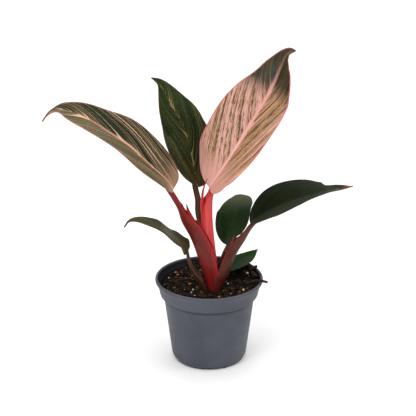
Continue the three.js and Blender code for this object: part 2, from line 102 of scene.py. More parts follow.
def store(obj, name, *columns):
    """Keeps up to three numbers for each vertex, which a material can read by name."""
    values = np.zeros((len(obj.data.vertices), 3))
    for index, column in enumerate(columns):
        values[:, index] = column
    attribute = obj.data.attributes.new(name, "FLOAT_VECTOR", "POINT")
    attribute.data.foreach_set("vector", values.ravel())


# %% Joining and finishing a piece
def join(name, parts):
    make_active(parts[0])
    for part in parts:
        part.select_set(True)
    bpy.ops.object.join()
    parts[0].name = name
    parts[0].data.name = name
    return parts[0]


def finish_piece(obj, name, material, slot, *nodes, angle):
    """Names a piece, gives it its finish, and lets it stand for its CAD nodes."""
    obj.name = name
    obj.data.name = name
    obj.data.materials.clear()
    obj.data.materials.append(material)
    make_active(obj)
    bpy.ops.object.shade_smooth_by_angle(angle=math.radians(angle))
    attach(obj, "root")
    if nodes:
        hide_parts(*nodes)
    print(name, len(obj.data.polygons), "faces")
    return obj


# %% [markdown]
# ## Building a finish from nodes
# A material is a small network: textures and ramps feed the colour, roughness and bump of one shader.
# The class below gives each common node one short call, so that a finish reads as a list of its layers.


# %% A finish
def linear(level):
    """The value that the shader needs for a level from 0 to 255 on a screen, by the sRGB rule."""
    share = level / 255
    return ((share + 0.055) / 1.055) ** 2.4 if share > 0.04045 else share / 12.92


def paint(red, green, blue):
    return (linear(red), linear(green), linear(blue), 1)


class Finish:
    def __init__(self, name, roughness, specular, **sockets):
        self.material = bpy.data.materials.new(name)
        self.material.use_nodes = True
        self.tree = self.material.node_tree
        self.shader = self.tree.nodes["Principled BSDF"]
        self.shader.inputs["Roughness"].default_value = roughness
        self.shader.inputs["Specular IOR Level"].default_value = specular
        for socket, value in sockets.items():
            self.shader.inputs[socket.replace("_", " ")].default_value = value

    def node(self, kind, inputs, **settings):
        node = self.tree.nodes.new(kind)
        for name, value in settings.items():
            setattr(node, name, value)
        for socket, value in inputs.items():
            if isinstance(value, bpy.types.NodeSocket):
                self.tree.links.new(value, node.inputs[socket])
            else:
                node.inputs[socket].default_value = value
        return node

    def attribute(self, name):
        return self.node("ShaderNodeAttribute", {}, attribute_name=name).outputs["Vector"]

    def place(self):
        return self.node("ShaderNodeTexCoord", {}).outputs["Object"]

    def stretch(self, vector, scale):
        return self.node("ShaderNodeMapping", {"Vector": vector, "Scale": scale}).outputs[0]

    def split(self, vector):
        return self.node("ShaderNodeSeparateXYZ", {"Vector": vector}).outputs

    def cloud(self, vector, scale, detail=2.0, roughness=0.5, stretch=None):
        """A noise whose values lie round 0.5. A small stretch number draws it out along that axis."""
        if stretch:
            vector = self.stretch(vector, stretch)
        values = {"Vector": vector, "Scale": scale, "Detail": detail, "Roughness": roughness}
        return self.node("ShaderNodeTexNoise", values).outputs["Fac"]

    def between(self, value, low, high, start=0.0, end=1.0):
        """A soft ramp from start to end. Where low lies above high, the ramp runs the other way."""
        values = {"Value": value, "From Min": low, "From Max": high, "To Min": start, "To Max": end}
        return self.node("ShaderNodeMapRange", values, interpolation_type="SMOOTHSTEP").outputs[0]

    def maths(self, operation, first, second=0.0):
        return self.node("ShaderNodeMath", {0: first, 1: second}, operation=operation).outputs[0]

    def mix(self, factor, first, second):
        """Mixes two colours. A Mix node keeps its colour inputs at 6 and 7 and its colour output at 2."""
        inputs = {0: factor, 6: first, 7: second}
        return self.node("ShaderNodeMix", inputs, data_type="RGBA").outputs[2]

    def colour(self, value):
        self.tree.links.new(value, self.shader.inputs["Base Color"])

    def gloss(self, value):
        self.tree.links.new(value, self.shader.inputs["Roughness"])

    def relief(self, height, distance, strength=1.0):
        values = {"Height": height, "Distance": distance, "Strength": strength}
        bump = self.node("ShaderNodeBump", values)
        self.tree.links.new(bump.outputs[0], self.shader.inputs["Normal"])


print("middle grey for the shader:", round(paint(128, 128, 128)[0], 3))

# %% [markdown]
# ## The pot
# The real pot is moulded in one thin wall of slate-grey plastic: a tapered side, a stepped collar, a
# rolled rim and a flat floor, with notches in its foot and drain slots. It could be a cylinder that is
# scaled ring by ring, but a wall of even thickness is easier as a profile: one point is extruded from
# corner to corner and the line is spun round the axis.

# %% Driving sizes of the pot
POT_HEIGHT = 0.048
RIM_RADIUS = 0.030
WALL = 0.0009
FOOT_RADIUS = 0.0196
FLOOR = 0.001
LIP_LOW = 0.0458
RIM_LOW = 0.0462
# Radius and height of the outer corners, from the foot to the rim
POT_OUTSIDE = [
    (0.0210, 0.0029), (0.0253, 0.0372), (0.0273, 0.0385), (0.0284, 0.0435), (0.0293, LIP_LOW),
]
LIP_EDGE = 0.0004
LIP_WIDTH = 0.0015
POT_STEPS = 160
print("pot:", 1000 * POT_HEIGHT, "mm high and", 2000 * RIM_RADIUS, "mm across")


# %% Spinning a profile
MERGE = 1e-6
MOST_OF_SIDE = 0.45


def spun(profile, steps):
    """Spins a line of (radius, height) points round the Z axis. A plane merged to one point starts it."""
    deselect_all()
    bpy.ops.mesh.primitive_plane_add(size=0.001)
    obj = bpy.context.object
    edit(obj)
    bpy.ops.mesh.merge(type="CENTER")
    bpy.ops.transform.translate(value=(profile[0][0], 0, profile[0][1]))
    for before, after in zip(profile, profile[1:]):
        step = (after[0] - before[0], 0, after[1] - before[1])
        bpy.ops.mesh.extrude_region_move(TRANSFORM_OT_translate={"value": step})
    bpy.ops.mesh.select_all(action="SELECT")
    bpy.ops.mesh.spin(steps=steps, angle=2 * math.pi, center=(0, 0, 0), axis=(0, 0, 1))
    bpy.ops.mesh.select_all(action="SELECT")
    bpy.ops.mesh.remove_doubles(threshold=MERGE)
    bpy.ops.mesh.normals_make_consistent(inside=False)
    leave_edit()
    return obj


def rounded(corner, before, after, radius, steps=4):
    """Replaces one corner of a profile by a short curve."""
    corner, before, after = (np.array(point) for point in (corner, before, after))
    start = corner + (before - corner) * min(MOST_OF_SIDE, radius / np.linalg.norm(before - corner))
    end = corner + (after - corner) * min(MOST_OF_SIDE, radius / np.linalg.norm(after - corner))
    curve = []
    for step in range(steps + 1):
        share = step / steps
        curve.append(tuple((1 - share) ** 2 * start + 2 * share * (1 - share) * corner + share ** 2 * end))
    return curve


# %% The pot's profile
CORNER = 0.0005
inside = [(radius - WALL, height) for radius, height in POT_OUTSIDE[:4]]
corners = [
    (FOOT_RADIUS, 0), *POT_OUTSIDE, (RIM_RADIUS, RIM_LOW), (RIM_RADIUS, POT_HEIGHT - LIP_EDGE),
    (RIM_RADIUS - LIP_EDGE, POT_HEIGHT), (RIM_RADIUS - LIP_WIDTH + LIP_EDGE, POT_HEIGHT),
    (RIM_RADIUS - LIP_WIDTH, POT_HEIGHT - LIP_EDGE), (RIM_RADIUS - LIP_WIDTH, LIP_LOW),
    *reversed(inside), (FOOT_RADIUS, FLOOR),
]
profile = [(0, 0)]
for before, corner, after in zip([(0, 0)] + corners, corners, corners[1:] + [(0, FLOOR)]):
    profile.extend(rounded(corner, before, after, CORNER))
profile.append((0, FLOOR))
pot = spun(profile, POT_STEPS)
print("pot profile points:", len(profile))

# %% [markdown]
# The foot's notches and drain slots repeat four times. Each is cut with a block in the form of a slice
# of a ring, which is a rectangle spun through a small angle. The cuts leave some points almost on each
# other, so the pot is cleaned afterwards.

# %% Notches and drain slots
NOTCHES = 4
NOTCH_SPAN = math.radians(36)
NOTCH_INNER = 0.014
NOTCH_HEIGHT = 0.0013
DRAIN_SPAN = math.radians(18)
DRAIN_INNER = 0.0155
DRAIN_OUTER = 0.018
DRAIN_TOP = 0.003
CUT_START = -0.001
SLICE_STEPS = 6


def ring_slice(inner, outer, low, high, direction, span):
    deselect_all()
    bpy.ops.mesh.primitive_plane_add(size=1)
    block = bpy.context.object
    turn = Matrix.Rotation(math.pi / 2, 4, "X")
    size = Matrix.Diagonal((outer - inner, 1, high - low, 1))
    move = Matrix.Translation(((inner + outer) / 2, 0, (low + high) / 2))
    block.data.transform(move @ size @ turn)
    block.data.transform(Matrix.Rotation(direction - span / 2, 4, "Z"))
    edit(block)
    bpy.ops.mesh.spin(steps=SLICE_STEPS, angle=span, center=(0, 0, 0), axis=(0, 0, 1))
    bpy.ops.mesh.select_all(action="SELECT")
    bpy.ops.mesh.normals_make_consistent(inside=False)
    leave_edit()
    return block


def cut(obj, cutter):
    apply_modifier(obj, "BOOLEAN", operation="DIFFERENCE", object=cutter, solver="EXACT")
    bpy.data.objects.remove(cutter)


for notch in range(NOTCHES):
    direction = (notch + 0.5) * 2 * math.pi / NOTCHES
    cut(pot, ring_slice(NOTCH_INNER, RIM_RADIUS, CUT_START, NOTCH_HEIGHT, direction, NOTCH_SPAN))
    cut(pot, ring_slice(DRAIN_INNER, DRAIN_OUTER, CUT_START, DRAIN_TOP, direction, DRAIN_SPAN))
edit(pot)
bpy.ops.mesh.remove_doubles(threshold=2 * MERGE)
bpy.ops.mesh.dissolve_degenerate(threshold=MERGE)
leave_edit()
print("pot after", 2 * NOTCHES, "cuts:", len(pot.data.polygons), "faces")


# %% [markdown]
# ### Slate-grey moulded plastic
# Recycled nursery plastic is matt, a little uneven in tone, and has a fine grain from the mould. The tone
# drifts with a slow cloud, the grain is a fast one, and a faint scuffing runs round the wall. A painted
# shadow darkens the crease under the collar, and a film of damp mix together with painted shade darkens
# the inside.

# %% The plastic's finish
# Heights where the painted shadow under the collar fades in and out
COLLAR_SHADOW_LOW = (0.0356, 0.0369)
COLLAR_SHADOW_HIGH = (0.0384, 0.0376)
INWARD = 0.3
CLEAN_RIM = 0.001


def slate_plastic():
    finish = Finish("slate_plastic", roughness=0.55, specular=0.35)
    place = finish.place()
    drift = finish.cloud(place, 45, detail=3)
    scuffs = finish.cloud(place, 160, detail=4, stretch=(1, 1, 6))
    grain = finish.cloud(place, 2600, detail=1)
    tone = finish.mix(finish.between(drift, 0.35, 0.7), paint(65, 68, 77), paint(76, 79, 89))
    tone = finish.mix(finish.between(scuffs, 0.55, 0.8, 0, 0.35), tone, paint(86, 90, 99))
    height = finish.split(place)["Z"]
    # Painted shadow in the crease under the collar's step
    collar_shadow = finish.maths(
        "MULTIPLY", finish.between(height, *COLLAR_SHADOW_LOW), finish.between(height, *COLLAR_SHADOW_HIGH, 0, 0.75),
    )
    tone = finish.mix(collar_shadow, tone, paint(34, 36, 42))
    # The inner wall darkens with a film of damp mix and with painted shade
    inside = finish.split(finish.attribute("inside"))["X"]
    film_and_shade = finish.maths("MULTIPLY", inside, finish.between(scuffs, 0.2, 0.5, 0.8, 1))
    finish.colour(finish.mix(film_and_shade, tone, paint(22, 23, 30)))
    finish.gloss(finish.between(scuffs, 0.3, 0.8, 0.5, 0.66))
    grain = finish.maths("ADD", finish.maths("MULTIPLY", grain, 0.25), drift)
    finish.relief(grain, 0.00012, 0.35)
    return finish.material


def mark_inside(obj):
    """Marks the points of the inner wall, which the mix has soiled and which the finish also darkens as
    painted shade.
    """
    points = points_of(obj)
    normals = np.zeros(points.size)
    obj.data.vertex_normals.foreach_get("vector", normals)
    inward = -np.sum(normals.reshape(-1, 3)[:, :2] * points[:, :2], axis=1)
    faces_in = inward > INWARD * np.hypot(points[:, 0], points[:, 1])
    store(obj, "inside", faces_in & (points[:, 2] < POT_HEIGHT - CLEAN_RIM))


mark_inside(pot)
finish_piece(pot, "pot_moulded", slate_plastic(), "pot_plastic", "pot", angle=30)

# %% [markdown]
# ## The potting mix
# The filling is one body of damp peat and bark fines, sloping up to the back right. It could be a flat
# disc with bump, but its crumbs show in outline against the pot's wall, so its top is real relief:
# a finely divided disc whose points are lifted by a few layers of noise.

# %% Height of the mix
SOIL_HEIGHT = 0.0437
SOIL_SLOPE = (0.09, 0.06)
MOUND_CENTRE = (0.020, 0.013)
MOUND_HEIGHT = 0.0025
MOUND_REACH = 0.007
SOIL_RADIUS = 0.0272
SOIL_EDGE = 0.0435
COLLAR_SLOPE = 0.22
# The scale of the noise and its height in metres, for each layer of relief
LUMPS = (260, 0.0011)
CRUMBS = (620, 0.0012)
GRIT = (1700, 0.0004)
NOISE_LEVEL = 0.3


def soil_height(x, y):
    from_mound = math.hypot(x - MOUND_CENTRE[0], y - MOUND_CENTRE[1]) / MOUND_REACH
    mound = MOUND_HEIGHT * math.exp(-(from_mound ** 2))
    return SOIL_HEIGHT + SOIL_SLOPE[0] * x + SOIL_SLOPE[1] * y + mound


def soil_relief(x, y):
    spot = Vector((x, y, NOISE_LEVEL))
    lumps = noise.noise(spot * LUMPS[0]) * LUMPS[1]
    crumbs = abs(noise.noise(spot * CRUMBS[0])) * CRUMBS[1]
    grit = noise.noise(spot * GRIT[0]) * GRIT[1]
    return soil_height(x, y) + lumps + crumbs + grit


print("mix in the middle of the pot:", round(1000 * soil_height(0, 0), 1), "mm up")


# %% The mix as one body
SOIL_RINGS = 70
SOIL_STEPS = 170
SOIL_FOOT = 0.0028
LEVEL_SLACK = 0.0001
# Radius and height down the inside of the pot's wall and over its collar, clear of both
soil_profile = [
    (0, SOIL_FOOT), (0.0185, SOIL_FOOT), (0.0196, 0.0036), (0.0240, 0.0370), (0.0259, 0.0388),
    (SOIL_RADIUS - 0.0002, SOIL_EDGE - 0.001),
]
top_rings = [(SOIL_RADIUS * (1 - ring / SOIL_RINGS), SOIL_EDGE) for ring in range(SOIL_RINGS + 1)]
soil = spun(soil_profile + top_rings, SOIL_STEPS)
lifted = points_of(soil)
for point in lifted:
    if point[2] > SOIL_EDGE - LEVEL_SLACK:
        height = soil_relief(point[0], point[1])
        inward = 1 + min(0, height - SOIL_EDGE) * COLLAR_SLOPE / SOIL_RADIUS
        point[0] *= inward
        point[1] *= inward
        point[2] = height
move_points(soil, lifted)
print("mix from", round(lifted[:, 2].min(), 4), "to", round(lifted[:, 2].max(), 4), "m")


# %% [markdown]
# ### Damp peat and bark fines
# The mix is nearly black where it is damp, with warm brown crumbs. Two clouds of different size pick
# the browns, and a strong bump keeps the small grit alive between the modelled crumbs.

# %% The mix's finish
def damp_mix():
    finish = Finish("damp_mix", roughness=0.9, specular=0.1)
    place = finish.place()
    patches = finish.cloud(place, 330, detail=4, roughness=0.7)
    grit = finish.cloud(place, 1500, detail=3, roughness=0.7)
    tone = finish.mix(finish.between(patches, 0.42, 0.68), paint(7, 5, 5), paint(30, 20, 13))
    tone = finish.mix(finish.between(grit, 0.58, 0.72, 0, 0.7), tone, paint(60, 40, 26))
    finish.colour(tone)
    finish.gloss(finish.between(grit, 0.3, 0.7, 0.75, 0.98))
    finish.relief(finish.maths("ADD", patches, grit), 0.0006, 0.8)
    return finish.material


finish_piece(soil, "soil_filling", damp_mix(), "soil", "soil", angle=60)

# %% [markdown]
# ## Crumbs, chips and grains
# Bark fines, white perlite, orange bark and bits of moss lie on the mix. Each kind is modelled a few
# times from a small primitive whose points are moved at random, and then copied, each copy with its own
# mesh. The copies of a kind are joined, and each keeps its own tone as a stored value.

# %% Where a crumb may lie
STALK_CLUMP = (0.0022, -0.0035)
CLUMP_RADIUS = 0.0075
SCATTER_RADIUS = 0.0262
draw = random.Random(23)


def spot_on_soil():
    while True:
        radius = SCATTER_RADIUS * math.sqrt(draw.random())
        turn = 2 * math.pi * draw.random()
        x, y = radius * math.cos(turn), radius * math.sin(turn)
        if math.hypot(x - STALK_CLUMP[0], y - STALK_CLUMP[1]) > CLUMP_RADIUS:
            return x, y


print("crumbs stay", 1000 * CLUMP_RADIUS, "mm clear of the middle of the stalks")


# %% Rough shapes to copy
def rough_lump(seed, flat, long):
    deselect_all()
    bpy.ops.mesh.primitive_ico_sphere_add(subdivisions=1, radius=1)
    lump = bpy.context.object
    edit(lump)
    bpy.ops.transform.vertex_random(offset=0.22, uniform=0.1, seed=seed)
    bpy.ops.transform.resize(value=(long, 1, flat))
    leave_edit()
    return lump


def rough_chip(seed):
    deselect_all()
    bpy.ops.mesh.primitive_cube_add(size=1.6)
    chip = bpy.context.object
    edit(chip)
    bpy.ops.mesh.subdivide(number_cuts=1)
    bpy.ops.transform.vertex_random(offset=0.3, uniform=0.1, seed=seed)
    bpy.ops.transform.resize(value=(1.5, 0.9, 0.42))
    leave_edit()
    return chip


# %% Copying them over the mix
GREATEST_TIP = 0.45


def scatter(name, material, shapes, count, sizes, sink, places=()):
    """Copies the shapes over the mix, sunk in a little, and joins the copies as one piece.

    A place is the x, y and size of one of the first copies. The others lie at random, most of them small.
    """
    copies = []
    for index in range(count):
        x, y = places[index][:2] if index < len(places) else spot_on_soil()
        size = sizes[0] + (sizes[1] - sizes[0]) * draw.random() ** 2
        if index < len(places):
            size = places[index][2]
        copy = shapes[index % len(shapes)].copy()
        copy.data = copy.data.copy()
        bpy.context.collection.objects.link(copy)
        turn = Matrix.Rotation(2 * math.pi * draw.random(), 4, "Z")
        for axis in "XY":
            turn = turn @ Matrix.Rotation(GREATEST_TIP * (2 * draw.random() - 1), 4, axis)
        height = soil_relief(x, y) + size * (0.5 - sink)
        copy.data.transform(Matrix.Translation((x, y, height)) @ turn @ Matrix.Scale(size, 4))
        store(copy, "tone", draw.random())
        copies.append(copy)
    for shape in shapes:
        bpy.data.objects.remove(shape)
    piece = join(name, copies)
    return finish_piece(piece, name, material, "soil", angle=35)


# %% Finishes of the crumbs
def crumb_finish(name, dark, pale, roughness, bump=0.5):
    """A grainy finish whose tone differs from crumb to crumb."""
    finish = Finish(name, roughness=roughness, specular=0.12)
    tone = finish.split(finish.attribute("tone"))["X"]
    grain = finish.cloud(finish.place(), 1300, detail=3)
    share = finish.maths("ADD", finish.maths("MULTIPLY", tone, 0.75), finish.maths("MULTIPLY", grain, 0.3))
    finish.colour(finish.mix(share, dark, pale))
    finish.gloss(finish.between(grain, 0.3, 0.7, roughness - 0.1, roughness + 0.05))
    finish.relief(grain, 0.0003, bump)
    return finish.material


dark_bark = crumb_finish("dark_bark", paint(5, 4, 4), paint(50, 33, 22), 0.85)
orange_bark = crumb_finish("orange_bark", paint(70, 42, 26), paint(190, 122, 80), 0.8)
perlite = crumb_finish("perlite", paint(150, 140, 118), paint(228, 216, 190), 0.9)
moss = crumb_finish("moss", paint(44, 44, 18), paint(126, 118, 56), 0.9)
print("crumb finishes:", ", ".join(finish.name for finish in (dark_bark, orange_bark, perlite, moss)))

# %% Scattering them
scatter(
    "soil_crumbs", dark_bark, [rough_lump(seed, flat=0.8, long=1.3) for seed in (1, 2, 3)],
    count=420, sizes=(0.0004, 0.0015), sink=0.35,
)
scatter(
    "soil_bark_chips", dark_bark, [rough_chip(seed) for seed in (4, 5, 6)],
    count=46, sizes=(0.0008, 0.0021), sink=0.3, places=[(0.0243, 0.0092, 0.0021), (0.0222, 0.0125, 0.0017)],
)
scatter(
    "soil_orange_bits", orange_bark, [rough_lump(seed, flat=0.7, long=1.3) for seed in (7, 8)],
    count=70, sizes=(0.0003, 0.0009), sink=0.4,
    places=[(0.0054, -0.0228, 0.0011), (0.0056, -0.0175, 0.0008), (0.0185, -0.0135, 0.0009)],
)
scatter(
    "soil_perlite", perlite, [rough_lump(seed, flat=0.9, long=1.1) for seed in (9, 10)],
    count=34, sizes=(0.0003, 0.0008), sink=0.35,
    places=[(-0.0082, 0.0065, 0.0007), (-0.0096, -0.0098, 0.0008), (0.0105, -0.0032, 0.0007)],
)
scatter(
    "soil_moss_bits", moss, [rough_lump(seed, flat=0.6, long=1.5) for seed in (11, 12)],
    count=100, sizes=(0.0003, 0.0009), sink=0.4,
)

# %% [markdown]
# ## Lines through points
# Stalks and blades follow gently bent lines. Blender's own curves could carry them, but a fold, a groove
# and the run of the veins must all follow the same line, so the line is worked out here: a smooth curve
# through a few points, with a direction that the leaf's face or the stalk's groove looks in.

# %% Smooth lines
SPAN_STEPS = 40


def smooth_line(points):
    """Many points of a smooth line through the given ones, and the length of the line up to each."""
    points = np.array(points, float)
    ends = np.vstack([2 * points[0] - points[1], points, 2 * points[-1] - points[-2]])
    share = np.linspace(0, 1, SPAN_STEPS, endpoint=False)[:, None]
    spans = []
    for first, second, third, fourth in zip(ends, ends[1:], ends[2:], ends[3:]):
        spans.append(0.5 * (
            2 * second + (third - first) * share
            + (2 * first - 5 * second + 4 * third - fourth) * share ** 2
            + (3 * second - first - 3 * third + fourth) * share ** 3
        ))
    line = np.vstack([*spans, points[-1]])
    lengths = np.concatenate([[0], np.cumsum(np.linalg.norm(np.diff(line, axis=0), axis=1))])
    return line, lengths


def on_line(line, lengths, place):
    return np.stack([np.interp(place * lengths[-1], lengths, line[:, axis]) for axis in range(3)], axis=-1)


bend = smooth_line([(0, 0, 0), (1, 0, 0), (1, 1, 0)])
print("a smooth line round a corner with sides of 1 m:", round(bend[1][-1], 3), "m long")


# %% Axes along a line
TANGENT_STEP = 0.002


def unit(vectors):
    return vectors / np.linalg.norm(vectors, axis=-1, keepdims=True)


def axes_at(points, directions, place):
    """Point, forward, facing and side at each place, 0 to 1, along a smooth line."""
    line, lengths = smooth_line(points)
    place = np.asarray(place, float)
    point = on_line(line, lengths, place)
    ahead = on_line(line, lengths, np.minimum(place + TANGENT_STEP, 1))
    behind = on_line(line, lengths, np.maximum(place - TANGENT_STEP, 0))
    forward = unit(ahead - behind)
    directions = np.array(directions, float)
    stations = np.linspace(0, 1, len(directions))
    facing = np.stack([np.interp(place, stations, directions[:, axis]) for axis in range(3)], axis=-1)
    facing = unit(facing - forward * np.sum(facing * forward, axis=-1, keepdims=True))
    return point, forward, facing, np.cross(forward, facing)


# %% [markdown]
# ## Blades
# A blade is a thin plate, folded a little along its midrib, round where the stalk joins and drawn out to
# a drip tip. By hand it would be a grid that is scaled row by row and bent; here a flat slab is made by
# operators, as a pattern block whose X is the way across, Y the way along and Z the face, and one formula
# then bends the slab along its midrib. The same formula gives the veins their places, for the finish.

# %% Shape shared by all blades
CURL = 0.08
END_HALF_WIDTH = 0.00045
EDGE_THICKNESS = 0.00025
BODY_THICKNESS = 0.0006
EDGE_POWER = 6
RIB_WIDTH = 0.0011
RIB_NARROWING = 0.0007
RIB_ABOVE = 0.00022
RIB_BELOW = 0.00025
RIB_BELOW_AT_BASE = 0.0006
RIB_END = 0.08
WAVE_SHIFT = 0.3
WAVE_FADE = (0.05, 0.3)
LOBE_POWER = 4
VEIN_RUN = (1.7, 0.35)
VEIN_SPACING = 0.0042
QUILT = 0.00013
QUILT_START = 0.2


def smooth(value, low, high):
    share = np.clip((value - low) / (high - low), 0, 1)
    return share * share * (3 - 2 * share)


def outline(leaf, place):
    """Half the blade's width along it, as a share of its greatest."""
    base, tip = leaf["base_power"], leaf["tip_power"]
    widest = base / (base + tip)
    return (place / widest) ** base * ((1 - place) / (1 - widest)) ** tip


def half_width(leaf, place, across):
    width = np.maximum(leaf["half_width"] * outline(leaf, place), END_HALF_WIDTH)
    for where, side, depth, reach in leaf.get("nicks", ()):
        notch = depth * np.exp(-(((place - where) / reach) ** 2))
        width = width * (1 - notch * (np.sign(across) == side))
    return width


# %% The run of the veins and the bent form
def vein_start(leaf, place, across):
    """How far along the midrib the side vein through a point begins, in metres."""
    length = smooth_line(leaf["midrib"])[1][-1]
    reach = np.abs(across)
    sweep, bend = leaf.get("veins", VEIN_RUN)
    return place * length - sweep * half_width(leaf, place, across) * (reach + bend * reach ** 2)


def blade_points(leaf, place, across, face):
    """Points of the blade: face is 1 on the upper side and -1 on the lower."""
    point, forward, facing, side = axes_at(leaf["midrib"], leaf["faces"], place)
    reach = np.abs(across)
    width = half_width(leaf, place, across)
    fold = math.radians(leaf["fold"])
    tilt = np.sign(across) * fold
    rise = width * (reach * math.sin(fold) - CURL * reach ** 2)
    turns = leaf["waves"] * place + WAVE_SHIFT * tilt
    inner = smooth(place, *WAVE_FADE) * smooth(1 - place, *WAVE_FADE)
    rise = rise + leaf["wave"] * reach ** 2 * np.sin(2 * math.pi * turns) * inner
    quilt = leaf.get("quilt", QUILT) * np.sin(2 * math.pi * vein_start(leaf, place, across) / VEIN_SPACING)
    rise = rise + quilt * np.clip(4 * reach * (1 - reach), 0, 1) * smooth(place, 0, QUILT_START)
    thickness = EDGE_THICKNESS + (BODY_THICKNESS - EDGE_THICKNESS) * (1 - reach ** EDGE_POWER)
    rib = np.exp(-((reach * width / (RIB_WIDTH - RIB_NARROWING * place)) ** 2))
    rib_height = np.where(face > 0, RIB_ABOVE, RIB_BELOW + RIB_BELOW_AT_BASE * (1 - place))
    lift = face * (thickness / 2 + rib_height * rib * smooth(1 - place, 0, RIB_END))
    lobe = leaf["lobe"] * reach ** 2 * outline(leaf, place) * (1 - place) ** LOBE_POWER
    out = across * width * math.cos(fold) - lift * np.sin(tilt)
    up = rise + lift * math.cos(fold)
    return point + side * out[:, None] + facing * up[:, None] - forward * lobe[:, None]


print("side veins:", 1000 * VEIN_SPACING, "mm apart on the quilted blades")

# %% Bending a slab into a blade
ROW_EVENNESS = 0.3
COLUMN_EVENNESS = 0.5
HALVES_APART = 30.0


def crowd_ends(share, evenness):
    """Moves places from 0 to 1 closer together at both ends."""
    return evenness * share + (1 - evenness) * (1 - np.cos(math.pi * share)) / 2


def slab(columns, rows):
    deselect_all()
    bpy.ops.mesh.primitive_grid_add(x_subdivisions=columns, y_subdivisions=rows, size=2)
    obj = bpy.context.object
    edit(obj)
    bpy.ops.mesh.extrude_region_move(TRANSFORM_OT_translate={"value": (0, 0, 1)})
    bpy.ops.mesh.select_all(action="SELECT")
    bpy.ops.mesh.normals_make_consistent(inside=False)
    leave_edit()
    return obj


def blade(leaf):
    """Bends a slab, and stores its places, its spans in mm, and where each point lies on its vein in mm."""
    obj = slab(*leaf["cells"])
    flat = points_of(obj)
    across = np.sign(flat[:, 0]) * crowd_ends(np.abs(flat[:, 0]), COLUMN_EVENNESS)
    place = crowd_ends((flat[:, 1] + 1) / 2, ROW_EVENNESS)
    face = np.where(flat[:, 2] > 0.5, 1.0, -1.0)
    length = smooth_line(leaf["midrib"])[1][-1]
    width = half_width(leaf, place, across)
    reach = np.abs(across)
    move_points(obj, blade_points(leaf, place, across, face))
    to_end = np.minimum(place, 1 - place) * length
    to_margin = np.minimum((1 - reach) * width, to_end)
    start = vein_start(leaf, place, across)
    store(obj, "blade", place, across, face)
    store(obj, "spans", 1000 * to_margin, 1000 * across * width)
    store(obj, "veins", 1000 * start, 1000 * reach * width, np.where(across > 0, HALVES_APART, 0))
    return obj


# %% [markdown]
# ### Seven blades
# The midribs run from the stalk to the tip. The faces are the directions that the upper side looks in,
# spaced evenly along the midrib. The powers set how fast the outline widens and narrows, and the fold is
# in degrees. A nick is its place along the blade, its side, its depth as a share of the width, and its
# reach along the blade. The veins' two numbers are their sweep to the tip and how much they bend.

